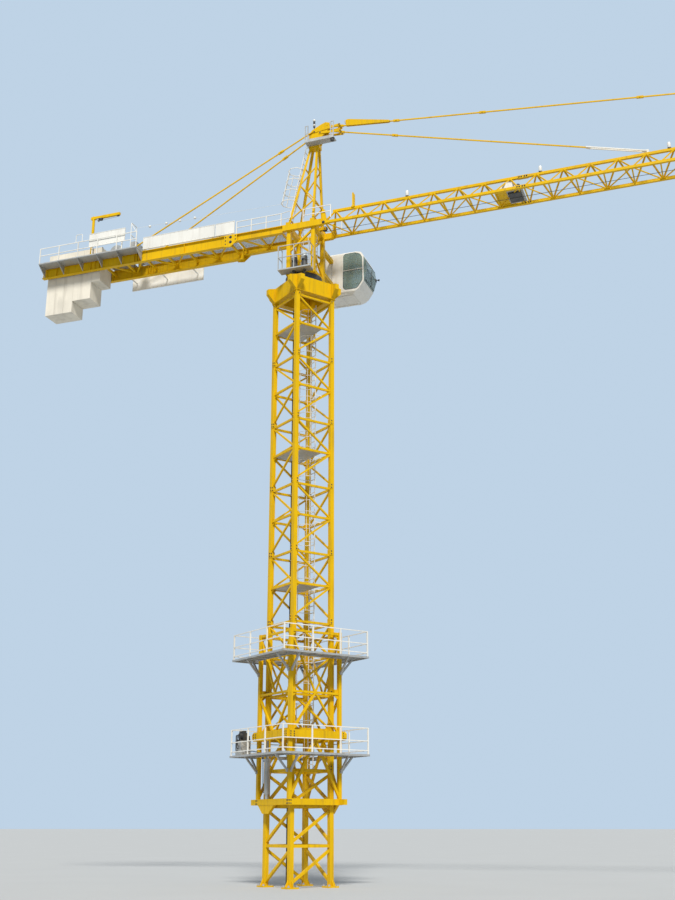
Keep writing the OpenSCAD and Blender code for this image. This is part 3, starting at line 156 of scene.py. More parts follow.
class Shape:
    """A mesh that is put together from plain forms, in the axes of its place."""

    def __init__(self, place=UPPERWORKS):
        self.place = place
        self.mesh = bmesh.new()

    def block(self, low, high):
        low, high = Vector(low), Vector(high)
        spot = Matrix.Translation((low + high) / 2) @ Matrix.Diagonal((*(high - low), 1))
        bmesh.ops.create_cube(self.mesh, size=1, matrix=spot)

    def rod(self, start, end, radius, end_radius=None, sides=16):
        start, end = Vector(start), Vector(end)
        run = end - start
        turn = run.to_track_quat("Z", "Y").to_matrix().to_4x4()
        spot = Matrix.Translation((start + end) / 2) @ turn
        last = radius if end_radius is None else end_radius
        bmesh.ops.create_cone(
            self.mesh, cap_ends=True, segments=sides, radius1=radius, radius2=last,
            depth=run.length, matrix=spot)

    def beam(self, start, end, width, height):
        """A flat bar between two points, its width level and across them."""
        start, end = Vector(start), Vector(end)
        run = end - start
        turn = run.to_track_quat("X", "Z").to_matrix().to_4x4()
        size = Matrix.Diagonal((run.length, width, height, 1))
        spot = Matrix.Translation((start + end) / 2) @ turn @ size
        bmesh.ops.create_cube(self.mesh, size=1, matrix=spot)

    def ball(self, centre, radius, stretch=(1, 1, 1)):
        spot = Matrix.Translation(centre) @ Matrix.Diagonal((*stretch, 1))
        bmesh.ops.create_uvsphere(self.mesh, u_segments=20, v_segments=12, radius=radius, matrix=spot)

    def prism(self, outline, depth):
        """A plate that has the outline's points as one face and is thick along depth."""
        depth = Vector(depth)
        front = [self.mesh.verts.new(point) for point in outline]
        back = [self.mesh.verts.new(Vector(point) + depth) for point in outline]
        self.mesh.faces.new(front)
        self.mesh.faces.new(reversed(back))
        for k in range(len(outline)):
            self.mesh.faces.new((front[k], back[k], back[k - 1], front[k - 1]))

    def rings(self, points, radius, sides=16):
        """A turned body about z: points give the share of the radius and the height of each ring."""
        loops = []
        for share, height in points:
            loop = []
            for k in range(sides):
                angle = 2 * math.pi * k / sides
                flat = (radius * share * math.cos(angle), radius * share * math.sin(angle))
                loop.append(self.mesh.verts.new((*flat, height)))
            loops.append(loop)
        self.mesh.faces.new(loops[0])
        self.mesh.faces.new(loops[-1])
        for low, high in zip(loops, loops[1:]):
            for k in range(sides):
                self.mesh.faces.new((low[k - 1], low[k], high[k], high[k - 1]))
        return [vert for loop in loops for vert in loop]

    def lay(self, verts, place, facing):
        """Turns a form's z axis to where it faces and moves it to its place."""
        turn = Vector(facing).to_track_quat("Z", "Y").to_matrix().to_4x4()
        bmesh.ops.transform(self.mesh, matrix=Matrix.Translation(place) @ turn, verts=verts)

    def turn(self, first, quarters):
        """Turns all vertices from the first on by quarters of a turn about z."""
        self.mesh.verts.ensure_lookup_table()
        spin = Matrix.Rotation(quarters * math.pi / 2, 4, "Z")
        bmesh.ops.transform(self.mesh, matrix=spin, verts=self.mesh.verts[first:])

    def make(self, name, slot, bevel=0.0, look=None):
        """Ends the shape: breaks its sharp edges and hands it over as one piece."""
        mesh = self.mesh
        bmesh.ops.recalc_face_normals(mesh, faces=mesh.faces)
        if bevel:
            sharp = [e for e in mesh.edges if len(e.link_faces) == 2 and e.calc_face_angle() > BEVEL_FROM]
            bmesh.ops.bevel(
                mesh, geom=sharp, offset=bevel, segments=1, affect="EDGES", clamp_overlap=True)
        data = bpy.data.meshes.new(name)
        mesh.to_mesh(data)
        mesh.free()
        data.materials.append(finish(look or SLOT_FINISH[slot]))
        settle(show(name, data), self.place)


def show(name, data):
    """Puts a mesh into the scene under its name."""
    piece = bpy.data.objects.new(name, data)
    bpy.context.scene.collection.objects.link(piece)
    return piece


def settle(piece, place):
    """Lays the piece in the frame's axes, turns its faces outwards and gives it its body."""
    axes, body = place
    mesh = bmesh.new()
    mesh.from_mesh(piece.data)
    mesh.transform(axes)
    bmesh.ops.recalc_face_normals(mesh, faces=mesh.faces)
    mesh.to_mesh(piece.data)
    mesh.free()
    piece.data.shade_smooth()
    piece.data.set_sharp_from_angle(angle=SHARP_FROM)
    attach(piece, body)


class Wire:
    """An output socket that takes Python's arithmetic and adds the Math nodes for it."""

    def __init__(self, graph, socket):
        self.graph = graph
        self.socket = socket

    def __add__(self, other):
        return self.graph.maths("ADD", self, other)

    def __radd__(self, other):
        return self.graph.maths("ADD", other, self)

    def __sub__(self, other):
        return self.graph.maths("SUBTRACT", self, other)

    def __rsub__(self, other):
        return self.graph.maths("SUBTRACT", other, self)

    def __mul__(self, other):
        return self.graph.maths("MULTIPLY", self, other)

    def __rmul__(self, other):
        return self.graph.maths("MULTIPLY", other, self)

    def between(self, low, high):
        """0 below low, 1 above high, and even in between."""
        span = {"From Min": low, "From Max": high, "Value": self}
        return self.graph.add("ShaderNodeMapRange", span, clamp=True)


class Graph:
    """A node tree that is filled through one method."""

    def __init__(self, tree):
        self.tree = tree
        self.tree.nodes.clear()

    def add(self, kind, sockets=None, output=0, **settings):
        """Adds a node, sets it up, then fills its sockets with values or wires."""
        node = self.tree.nodes.new(kind)
        for name, value in settings.items():
            setattr(node, name, value)
        for name, value in (sockets or {}).items():
            self.fill(node.inputs[name], value)
        return Wire(self, node.outputs[output]) if node.outputs else node

    def fill(self, socket, value):
        if isinstance(value, Wire):
            self.tree.links.new(value.socket, socket)
        else:
            socket.default_value = value

    def maths(self, operation, *values):
        return self.add("ShaderNodeMath", dict(enumerate(values)), operation=operation)

    def place(self, stretch=(1, 1, 1)):
        """The object's own coordinates, pulled out along an axis where stretch is below 1."""
        coordinates = self.add("ShaderNodeTexCoord", output="Object")
        return self.add("ShaderNodeMapping", {"Vector": coordinates, "Scale": stretch})

    def noise(self, place, scale, detail):
        sockets = {"Vector": place, "Scale": scale, "Detail": detail}
        return self.add("ShaderNodeTexNoise", sockets)

    def mix(self, mask, under, over):
        """Colour under where the mask is 0, over where it is 1."""
        sockets = {0: mask, 6: under, 7: over}
        return self.add("ShaderNodeMix", sockets, output=2, data_type="RGBA")

    def bump(self, height, strength, distance):
        sockets = {"Height": height, "Strength": strength, "Distance": distance}
        return self.add("ShaderNodeBump", sockets)


class Recipe(Graph):
    """A Geometry Nodes tree with named inputs that ends in a plain mesh and its finish."""

    KINDS = {int: "NodeSocketInt", float: "NodeSocketFloat"}

    def __init__(self, name, sizes):
        super().__init__(bpy.data.node_groups.new(name, "GeometryNodeTree"))
        face = self.tree.interface
        face.new_socket("Geometry", in_out="OUTPUT", socket_type="NodeSocketGeometry")
        face.new_socket("Geometry", in_out="INPUT", socket_type="NodeSocketGeometry")
        face.new_socket("Finish", in_out="INPUT", socket_type="NodeSocketMaterial")
        for label, size in sizes.items():
            kind = self.KINDS[type(size)]
            socket = face.new_socket(label, in_out="INPUT", socket_type=kind)
            socket.default_value = size

    def get(self, label):
        """One of the recipe's own inputs."""
        return self.add("NodeGroupInput", output=label)

    def vector(self, x=0.0, y=0.0, z=0.0):
        return self.add("ShaderNodeCombineXYZ", {"X": x, "Y": y, "Z": z})

    def box(self, x, y, z):
        return self.add("GeometryNodeMeshCube", {"Size": self.vector(x, y, z)})

    def lift(self, geometry, height):
        sockets = {"Geometry": geometry, "Translation": self.vector(z=height)}
        return self.add("GeometryNodeTransform", sockets)

    def drum(self, sides, radius, depth):
        """A cylinder that stands on the base point."""
        sockets = {"Vertices": sides, "Radius": radius, "Depth": depth}
        return self.lift(self.add("GeometryNodeMeshCylinder", sockets), depth * 0.5)

    def join(self, *parts):
        whole = self.add("GeometryNodeJoinGeometry")
        for part in parts:
            self.fill(whole.socket.node.inputs[0], part)
        return whole

    def facing(self, axis="Z"):
        """The way that each base point faces, as a turn of one axis."""
        way = self.add("GeometryNodeInputNamedAttribute", {"Name": "facing"}, data_type="FLOAT_VECTOR")
        return self.add("FunctionNodeAlignRotationToVector", {"Vector": way}, axis=axis)

    def copies(self, points, shape, turn=None):
        sockets = {"Points": points, "Instance": shape}
        if turn is not None:
            sockets["Rotation"] = turn
        return self.add("GeometryNodeInstanceOnPoints", sockets)

    def row(self, count, shape, x=0.0, y=0.0):
        """Copies of a shape in a straight row that is centred on the base point."""
        back = (count - 1) * -0.5
        start = self.vector(back * x, back * y)
        sockets = {"Count": count, "Start Location": start, "Offset": self.vector(x, y)}
        return self.copies(self.add("GeometryNodeMeshLine", sockets), shape)

    def close(self, geometry):
        whole = self.add("GeometryNodeRealizeInstances", {"Geometry": geometry})
        sockets = {"Geometry": whole, "Material": self.get("Finish")}
        finished = self.add("GeometryNodeSetMaterial", sockets)
        self.add("NodeGroupOutput", {"Geometry": finished})
        return self

    def grow(self, name, base, place, slot, sizes, look=None):
        """Runs the recipe on a base mesh and keeps the result as a plain mesh on its body."""
        piece = show(name, base)
        modifier = piece.modifiers.new("recipe", "NODES")
        modifier.node_group = self.tree
        values = {"Finish": finish(look or SLOT_FINISH[slot]), **sizes}
        for item in self.tree.interface.items_tree:
            if item.in_out == "INPUT" and item.name in values:
                modifier[item.identifier] = values[item.name]
        bpy.context.view_layer.update()
        evaluated = piece.evaluated_get(bpy.context.evaluated_depsgraph_get())
        mesh = bpy.data.meshes.new_from_object(evaluated)
        piece.modifiers.clear()
        piece.data = mesh
        settle(piece, place)


def spots_mesh(spots):
    """Loose points for a recipe: each spot is a place and the way that it faces."""
    mesh = bpy.data.meshes.new("spots")
    mesh.from_pydata([place for place, way in spots], [], [])
    facing = mesh.attributes.new("facing", "FLOAT_VECTOR", "POINT")
    facing.data.foreach_set("vector", [float(number) for place, way in spots for number in way])
    return mesh


def both_sides(x, y, z):
    """Two spots, one on each side of the x axis, that face away from it, or towards it if y is negative."""
    return [((x, side * y, z), (0, side, 0)) for side in (-1, 1)]


def paths_mesh(paths, closed):
    """Edges for a recipe that follows paths: each path is a list of points."""
    points, edges = [], []
    for path in paths:
        first = len(points)
        points += [tuple(point) for point in path]
        edges += [(k, k + 1) for k in range(first, len(points) - 1)]
        if closed:
            edges.append((len(points) - 1, first))
    mesh = bpy.data.meshes.new("paths")
    mesh.from_pydata(points, edges, [])
    return mesh


def around(centre, radius, degrees, up=(0, 1, 0)):
    """The point at an angle on a circle in the plane of x and up."""
    angle = math.radians(degrees)
    return Vector(centre) + radius * (Vector((1, 0, 0)) * math.cos(angle) + Vector(up) * math.sin(angle))


def arc(centre, radius, start, end, steps, up=(0, 1, 0)):
    """Points on such a circle from one angle to another."""
    return [around(centre, radius, start + (end - start) * k / steps, up) for k in range(steps + 1)]


def bolt_recipe():
    """Hexagon head on its washer, with the end of a stud above it."""
    sizes = {"Head radius": 0.014, "Head height": 0.01, "Stud radius": 0.008, "Stud height": 0.016}
    recipe = Recipe("bolts", sizes)
    radius, height = recipe.get("Head radius"), recipe.get("Head height")
    head = recipe.drum(6, radius, height)
    washer = recipe.drum(12, radius * 1.25, height * 0.3)
    stud = recipe.drum(8, recipe.get("Stud radius"), recipe.get("Stud height"))
    bolt = recipe.join(head, washer, stud)
    return recipe.close(recipe.copies(recipe.get("Geometry"), bolt, recipe.facing()))


def tube_recipe():
    """Round tube along each path, with rounded corners and closed ends."""
    recipe = Recipe("tubes", {"Radius": 0.01, "Sides": 8, "Bend": 0.03})
    curve = recipe.add("GeometryNodeMeshToCurve", {"Mesh": recipe.get("Geometry")})
    sockets = {"Curve": curve, "Radius": recipe.get("Bend"), "Limit Radius": True, "Count": 4}
    bent = recipe.add("GeometryNodeFilletCurve", sockets, mode="POLY")
    outline = {"Resolution": recipe.get("Sides"), "Radius": recipe.get("Radius")}
    profile = recipe.add("GeometryNodeCurvePrimitiveCircle", outline)
    skin = {"Curve": bent, "Profile Curve": profile, "Fill Caps": True}
    return recipe.close(recipe.add("GeometryNodeCurveToMesh", skin))


def tread_recipe():
    """Raised lugs on a plate, turned one way and the other in turn."""
    recipe = Recipe("tread", {"Length": 1.0, "Width": 0.3, "Columns": 10, "Rows": 4, "Lug": 0.026})
    lug = recipe.get("Lug")
    solid = recipe.box(lug, lug * 0.3, lug * 0.14)
    grid = {
        "Size X": recipe.get("Length"), "Size Y": recipe.get("Width"),
        "Vertices X": recipe.get("Columns"), "Vertices Y": recipe.get("Rows"),
    }
    places = recipe.add("GeometryNodeMeshGrid", grid)
    column = recipe.add("GeometryNodeInputIndex")
    line = recipe.maths("FLOOR", recipe.maths("DIVIDE", column, recipe.get("Rows")))
    odd = recipe.maths("MODULO", column + line, 2)
    turn = recipe.vector(z=odd * (math.pi / 2) + math.pi / 4)
    field = recipe.copies(places, solid, recipe.add("FunctionNodeEulerToRotation", {"Euler": turn}))
    return recipe.close(recipe.copies(recipe.get("Geometry"), field, recipe.facing("X")))


def grating_recipe():
    """Open floor grating: upright flat bars on thin cross rods."""
    sizes = {"Length": 1.0, "Width": 0.5, "Bars": 40, "Rods": 5, "Bar height": 0.02}
    recipe = Recipe("grating", sizes)
    length, width, height = recipe.get("Length"), recipe.get("Width"), recipe.get("Bar height")
    bars, rods = recipe.get("Bars"), recipe.get("Rods")
    bar = recipe.box(0.003, width, height)
    rod = recipe.box(length, 0.004, 0.004)
    across = recipe.row(bars, bar, x=recipe.maths("DIVIDE", length - 0.003, bars - 1))
    along = recipe.row(rods, rod, y=recipe.maths("DIVIDE", width - 0.01, rods - 1))
    panel = recipe.join(across, recipe.lift(along, height * 0.3))
    return recipe.close(recipe.copies(recipe.get("Geometry"), panel))


def fin_recipe():
    """Cooling fins around a motor's axis, standing on each base point."""
    sizes = {"Radius": 0.06, "Height": 0.1, "Depth": 0.014, "Fins": 24}
    recipe = Recipe("fins", sizes)
    height = recipe.get("Height")
    fin = recipe.lift(recipe.box(recipe.get("Depth"), 0.003, height), height * 0.5)
    sockets = {"Vertices": recipe.get("Fins"), "Radius": recipe.get("Radius")}
    circle = recipe.add("GeometryNodeMeshCircle", sockets)
    middle = recipe.add("GeometryNodeInputPosition")
    outward = recipe.add("FunctionNodeAlignRotationToVector", {"Vector": middle}, axis="X")
    crown = recipe.copies(circle, fin, outward)
    return recipe.close(recipe.copies(recipe.get("Geometry"), crown, recipe.facing()))


def winding_recipe():
    """Rope wound on a drum in one layer, centred on each base point along its facing."""
    sizes = {"Drum radius": 0.13, "Rope radius": 0.006, "Turns": 30.0, "Width": 0.4}
    recipe = Recipe("winding", sizes)
    rope, width = recipe.get("Rope radius"), recipe.get("Width")
    layer = recipe.get("Drum radius") + rope
    coil = recipe.add("GeometryNodeCurveSpiral", {
        "Resolution": 28, "Rotations": recipe.get("Turns"), "Start Radius": layer,
        "End Radius": layer, "Height": width})
    profile = recipe.add("GeometryNodeCurvePrimitiveCircle", {"Resolution": 6, "Radius": rope})
    skin = {"Curve": coil, "Profile Curve": profile, "Fill Caps": True}
    wound = recipe.lift(recipe.add("GeometryNodeCurveToMesh", skin), width * -0.5)
    return recipe.close(recipe.copies(recipe.get("Geometry"), wound, recipe.facing()))


def rgb(colour):
    return (*tuple(colour)[:3], 1.0)


def darker(colour, share):
    return rgb([channel * share for channel in tuple(colour)[:3]])


def finish_maker(fill):
    """Turns a function that returns values for the Principled sockets into one that adds a material."""

    def make(name, *choices):
        material = bpy.data.materials.new(name)
        material.use_nodes = True
        graph = Graph(material.node_tree)
        surface = graph.add("ShaderNodeBsdfPrincipled", fill(graph, *choices))
        graph.add("ShaderNodeOutputMaterial", {"Surface": surface})
        return material

    return make


@finish_maker
def crane_paint(graph, colour, grime, worn=0.72):
    """Gloss paint on steel: faded in patches, with rain streaks, grime and small chips.

    The higher worn is, the fewer the chips.
    """
    place = graph.place()
    fade = graph.noise(place, 1.7, 4).between(0.42, 0.66)
    streaks = graph.noise(graph.place((16, 16, 0.9)), 1.0, 5).between(0.52, 0.78)
    chips = graph.noise(place, 46, 2).between(worn, worn + 0.02)
    peel = graph.noise(place, 160, 2)
    faded = graph.mix(fade * 0.55, rgb(colour), darker(colour, 0.84))
    dirty = graph.mix(streaks * grime, faded, darker((0.22, 0.12, 0.04), 0.8))
    shown = graph.mix(chips * 0.8, dirty, rgb((0.16, 0.07, 0.03)))
    return {
        "Base Color": shown,
        "Roughness": 0.38 + streaks * 0.22 + chips * 0.2,
        "Specular IOR Level": 0.15,
        "Normal": graph.bump(peel - chips * 1.5, 0.12, 0.002),
    }


@finish_maker
def galvanised_steel(graph, colour):
    """Zinc with its pattern of crystals, and duller patches where it weathered."""
    place = graph.place()
    crystals = graph.add("ShaderNodeTexVoronoi", {"Vector": place, "Scale": 70.0})
    weather = graph.noise(place, 3.1, 5).between(0.4, 0.7)
    streaks = graph.noise(graph.place((12, 12, 0.8)), 1.0, 4).between(0.55, 0.8)
    zinc = graph.mix(crystals * 0.9, darker(colour, 1.12), darker(colour, 0.74))
    aged = graph.mix(weather * 0.5, zinc, darker(colour, 0.6))
    shown = graph.mix(streaks * 0.35, aged, rgb((0.17, 0.13, 0.09)))
    return {
        "Base Color": shown,
        "Metallic": 0.55 - weather * 0.3,
        "Roughness": 0.42 + weather * 0.2 + crystals * 0.1,
        "Normal": graph.bump(crystals, 0.08, 0.002),
    }


@finish_maker
def cast_concrete(graph, colour):
    """Painted concrete with pores, cloudy patches and water marks."""
    place = graph.place()
    cloud = graph.noise(place, 2.2, 6)
    pores = graph.add("ShaderNodeTexVoronoi", {"Vector": place, "Scale": 55.0})
    holes = 1 - pores.between(0.06, 0.16)
    marks = graph.noise(graph.place((7, 7, 0.7)), 1.0, 6).between(0.5, 0.76)
    patchy = graph.mix(cloud.between(0.38, 0.66), rgb(colour), darker(colour, 0.86))
    wet = graph.mix(marks * 0.4, patchy, darker(colour, 0.5))
    shown = graph.mix(holes * 0.5, wet, darker(colour, 0.4))
    grain = graph.noise(place, 130, 4)
    return {
        "Base Color": shown,
        "Roughness": 0.82 + marks * 0.1,
        "Normal": graph.bump(grain * 0.4 - holes, 0.45, 0.004),
    }


@finish_maker
def machine_dark(graph, colour, roughness):
    """Dark machinery paint or rubber, dusty on its ups and downs."""
    place = graph.place()
    dust = graph.noise(place, 9.0, 5).between(0.46, 0.74)
    grain = graph.noise(place, 210, 3)
    return {
        "Base Color": graph.mix(dust * 0.4, rgb(colour), rgb((0.2, 0.18, 0.15))),
        "Roughness": roughness + dust * 0.2,
        "Normal": graph.bump(grain, 0.2, 0.001),
    }


@finish_maker
def tinted_glass_with_painted_reflection(graph, colour):
    """Tinted glazing with a thin film of dust; the colour given is the glass's green-grey tint made lighter, a
    painted reflection of the sky.
    """
    place = graph.place()
    dust = graph.noise(place, 5.0, 5).between(0.5, 0.8)
    return {
        "Base Color": graph.mix(dust * 0.25, rgb(colour), rgb((0.35, 0.38, 0.36))),
        "Roughness": 0.04 + dust * 0.12,
        "Alpha": 0.5 + dust * 0.2,
        "IOR": 1.5,
    }


@finish_maker
def wire_rope(graph, colour):
    """Greased wire rope with its strands across the run."""
    place = graph.place()
    strands = graph.noise(place, 340, 1)
    grease = graph.noise(place, 4.0, 4).between(0.4, 0.7)
    return {
        "Base Color": graph.mix(grease * 0.6, rgb(colour), darker(colour, 0.45)),
        "Metallic": 0.5 - grease * 0.3,
        "Roughness": 0.38 + grease * 0.2,
        "Normal": graph.bump(strands, 0.5, 0.002),
    }


@finish_maker
def lamp_glass(graph, colour):
    """White lamp glass with dust on it."""
    dust = graph.noise(graph.place(), 30, 4).between(0.45, 0.75)
    return {
        "Base Color": graph.mix(dust * 0.3, rgb(colour), darker(colour, 0.7)),
        "Roughness": 0.12 + dust * 0.3,
        "Coat Weight": 0.5,
    }


@finish_maker
def matt_floor(graph, colour):
    """Plain matt floor, a little cloudy."""
    cloud = graph.noise(graph.place(), 0.4, 3).between(0.3, 0.7)
    return {"Base Color": graph.mix(cloud, rgb(colour), darker(colour, 0.97)), "Roughness": 0.9}


class CraneSizes(bpy.types.PropertyGroup):
    """Sizes and colours of the fittings and finishes."""

    paint: bpy.props.FloatVectorProperty(
        name="Crane paint", description="Colour of the painted steelwork",
        subtype="COLOR", size=3, min=0, max=1, default=(0.75, 0.465, 0.004))
    zinc: bpy.props.FloatVectorProperty(
        name="Galvanised steel", description="Colour of the platforms and their braces",
        subtype="COLOR", size=3, min=0, max=1, default=(0.5, 0.51, 0.5))
    white: bpy.props.FloatVectorProperty(
        name="White paint", description="Colour of the cab, the panels and the handrails",
        subtype="COLOR", size=3, min=0, max=1, default=(0.8, 0.8, 0.76))
    concrete: bpy.props.FloatVectorProperty(
        name="Ballast", description="Colour of the painted concrete slabs",
        subtype="COLOR", size=3, min=0, max=1, default=(0.78, 0.74, 0.64))
    grime: bpy.props.FloatProperty(
        name="Grime", description="How much rain streaks darken the paint",
        subtype="FACTOR", min=0, max=1, default=0.4)
    floor: bpy.props.FloatVectorProperty(
        name="Floor", description="Colour of the plain floor",
        subtype="COLOR", size=3, min=0, max=1, default=(0.5, 0.52, 0.53))
    backdrop: bpy.props.FloatVectorProperty(
        name="Backdrop", description="Colour behind the crane",
        subtype="COLOR", size=3, min=0, max=1, default=(0.52, 0.65, 0.79))
    rope_radius: bpy.props.FloatProperty(
        name="Rope radius", description="Radius of the hoist rope",
        subtype="DISTANCE", unit="LENGTH", min=0.002, max=0.01, default=0.0055)
    lamp_radius: bpy.props.FloatProperty(
        name="Lamp radius", description="Radius of the warning lamps on the jib",
        subtype="DISTANCE", unit="LENGTH", min=0.01, max=0.06, default=0.038)
    tread_pitch: bpy.props.FloatProperty(
        name="Tread pitch", description="Distance between the lugs of the platforms",
        subtype="DISTANCE", unit="LENGTH", min=0.025, max=0.2, default=0.042)
    ring_bolts: bpy.props.IntProperty(
        name="Ring bolts", description="Bolts around the slewing ring",
        min=8, max=72, default=36)


def finish(name):
    """The material of that name, which the finish operator makes first."""
    return bpy.data.materials[name]


# The finish that each of the record's material slots is given
SLOT_FINISH = {
    "crane_yellow": "yellow_paint",
    "galvanised": "zinc_coat",
    "white_rail": "rail_white",
    "white_panel": "panel_white",
    "ballast_concrete": "ballast_paint",
    "dark_metal": "machine_grey",
    "black_rubber": "cable_rubber",
    "cab_glass": "cab_tint",
}


class CRANE_OT_camera(bpy.types.Operator):
    """Put the camera where the photograph was taken from"""

    bl_idname = "crane.camera"
    bl_label = "Camera"

    def execute(self, context):
        stand = Vector((8.834, -22.029, 1.12))
        heading = math.radians(19.63)
        pitch = math.radians(18.308)
        data = bpy.data.cameras.new("camera")
        data.lens = 45.72
        data.clip_end = 4000
        camera = bpy.data.objects.new("camera", data)
        camera.location = stand
        camera.rotation_euler = (math.pi / 2 + pitch, 0, heading)
        context.scene.collection.objects.link(camera)
        context.scene.camera = camera
        return {"FINISHED"}


class CRANE_OT_finishes(bpy.types.Operator):
    """Make the finishes and give them to the frame's nodes"""

    bl_idname = "crane.finishes"
    bl_label = "Finishes"

    def execute(self, context):
        sizes = context.scene.crane_sizes
        crane_paint("yellow_paint", sizes.paint, sizes.grime)
        crane_paint("rail_white", sizes.white, sizes.grime * 0.5, 0.76)
        crane_paint("panel_white", sizes.white, sizes.grime * 0.4, 0.78)
        galvanised_steel("zinc_coat", sizes.zinc)
        cast_concrete("ballast_paint", sizes.concrete)
        machine_dark("machine_grey", (0.035, 0.037, 0.04), 0.42)
        machine_dark("cable_rubber", (0.012, 0.012, 0.013), 0.6)
        # The cab glass's colour is its green-grey tint, made lighter as a painted reflection of the sky
        tinted_glass_with_painted_reflection("cab_tint", (0.24, 0.34, 0.32))
        wire_rope("rope_steel", (0.09, 0.085, 0.075))
        lamp_glass("lamp_glass", sizes.white)
        slots = {part["node"]: part["material_slot"] for part in frame["record"]["subparts"]}
        for name, node in frame["nodes"].items():
            node.data.materials.clear()
            node.data.materials.append(finish(SLOT_FINISH[slots[name]]))
        return {"FINISHED"}


class CraneFitting:
    """What the fitting operators share: each recipe, made once, and pieces of a few kinds."""

    bl_options = {"REGISTER"}
    recipes = {}

    def recipe(self, maker):
        """The recipe that a maker builds, made once for all operators."""
        if maker not in self.recipes:
            self.recipes[maker] = maker()
        return self.recipes[maker]

    def bolts(self, name, spots, slot, radius, height, stud=1.7, place=UPPERWORKS):
        sizes = {
            "Head radius": radius, "Head height": height,
            "Stud radius": radius * 0.55, "Stud height": height * stud,
        }
        self.recipe(bolt_recipe).grow(name, spots_mesh(spots), place, slot, sizes)

    def tubes(self, name, paths, slot, radius, bend=0.0, closed=False, sides=8, look=None,
              place=UPPERWORKS):
        sizes = {"Radius": radius, "Bend": bend, "Sides": sides}
        self.recipe(tube_recipe).grow(name, paths_mesh(paths, closed), place, slot, sizes, look)

    def fins(self, name, spots, radius, height, depth, count, place=UPPERWORKS):
        sizes = {"Radius": radius, "Height": height, "Depth": depth, "Fins": count}
        self.recipe(fin_recipe).grow(name, spots_mesh(spots), place, "dark_metal", sizes)

    def winding(self, name, axle, drum, rope, turns, width):
        sizes = {"Drum radius": drum, "Rope radius": rope, "Turns": turns, "Width": width}
        spots = spots_mesh([(axle, (0, 1, 0))])
        self.recipe(winding_recipe).grow(name, spots, UPPERWORKS, "dark_metal", sizes, "rope_steel")


class CRANE_OT_feet(CraneFitting, bpy.types.Operator):
    """Anchor nuts and stiffening ribs on the four foot plates"""

    bl_idname = "crane.feet"
    bl_label = "Feet"

    def execute(self, context):
        pitch, plate = 0.095, 0.03
        spots = []
        ribs = Shape(TOWER)
        for sx, sy in CORNERS:
            foot = Vector((sx * HALF_MAST, sy * HALF_MAST, plate))
            for hx, hy in CORNERS:
                spots.append((foot + Vector((hx * pitch, hy * pitch, 0)), (0, 0, 1)))
            for across, along in (((sx, 0, 0), (0, sy, 0)), ((0, sy, 0), (sx, 0, 0))):
                across, along = Vector(across), Vector(along)
                root = foot + across * LEG_W / 2 - along * 0.006
                outline = [root, root + across * 0.07, root + across * 0.07 + Vector((0, 0, 0.02)),
                           root + across * 0.012 + Vector((0, 0, 0.13)), root + Vector((0, 0, 0.13))]
                ribs.prism(outline, along * 0.012)
        self.bolts("anchor_nuts", spots, "galvanised", radius=0.024, height=0.022, stud=1.6, place=TOWER)
        ribs.make("foot_ribs", "crane_yellow", bevel=0.002)
        return {"FINISHED"}


class CRANE_OT_mast_bolts(CraneFitting, bpy.types.Operator):
    """Bolts through the collars where the mast sections are joined"""

    bl_idname = "crane.mast_bolts"
    bl_label = "Mast bolts"

    def execute(self, context):
        out = LEG_W / 2 + 0.009
        half_collar = 0.031
        spots = []
        for number, joint in enumerate(JOINT_Z):
            heights = [joint - half_collar]
            if number < len(JOINT_Z) - 1:
                heights.append(joint + half_collar)
            for z in heights:
                for sx, sy in CORNERS:
                    leg = Vector((sx * HALF_MAST, sy * HALF_MAST, z))
                    spots.append((leg + Vector((sx * out, -sy * 0.026, 0)), (sx, 0, 0)))
                    spots.append((leg + Vector((-sx * 0.026, sy * out, 0)), (0, sy, 0)))
                    spots.append((leg + Vector((-sx * out, sy * 0.034, 0)), (-sx, 0, 0)))
        self.bolts("mast_bolts", spots, "dark_metal", radius=0.012, height=0.009, place=TOWER)
        return {"FINISHED"}


class CRANE_OT_mast_ladder_hoops(CraneFitting, bpy.types.Operator):
    """Safety hoops and their strips round the ladder inside the mast"""

    bl_idname = "crane.mast_ladder_hoops"
    bl_label = "Mast ladder hoops"

    def execute(self, context):
        centre_y, radius = 0.12, 0.19
        steps = (0.17, 0.43, 0.63, 0.87)
        platforms = (3, 5, 7)
        hoops, strips = [], []
        for number in range(1, 8):
            low = JOINT_Z[number - 1]
            levels = [low + share * SECTION_H for share in steps]
            for z in levels:
                hoops.append(arc((0, centre_y, z), radius, 58, -238, 18))
            for angle in (-30, -90, -150):
                place = around((0, centre_y, 0), radius, angle)
                spans = [(levels[0] - 0.01, levels[1] + 0.01), (levels[2] - 0.01, levels[3] + 0.01)]
                if number not in platforms:
                    spans = [(levels[0] - 0.01, levels[3] + 0.01)]
                for start, end in spans:
                    strips.append([place + Vector((0, 0, start)), place + Vector((0, 0, end))])
        self.tubes("mast_ladder_hoops", hoops, "white_rail", 0.006, place=TOWER)
        self.tubes("mast_ladder_strips", strips, "white_rail", 0.005, sides=6, place=TOWER)
        return {"FINISHED"}


class CRANE_OT_cable_clips(CraneFitting, bpy.types.Operator):
    """Saddle clips that hold the power cable to the mast's level bars"""

    bl_idname = "crane.cable_clips"
    bl_label = "Cable clips"

    def execute(self, context):
        cable_x, wall_x = -HALF_MAST + 0.03 + 0.013, -HALF_MAST + 0.02
        levels = [z + SECTION_H / 2 for z in JOINT_Z[:-1]]
        levels += [z + SECTION_H - 0.062 for z in JOINT_Z[:-1]]
        clips = []
        for z in levels:
            round_part = arc((cable_x, 0, z), 0.018, 90, -90, 8)
            for lift in (-0.007, 0.0, 0.007):
                shift = Vector((0, 0, lift))
                ends = [Vector((wall_x, 0.018, z)), Vector((wall_x, -0.018, z))]
                clips.append([p + shift for p in (ends[0], *round_part, ends[1])])
        self.tubes("cable_clips", clips, "galvanised", 0.0045, sides=6, place=TOWER)
        return {"FINISHED"}


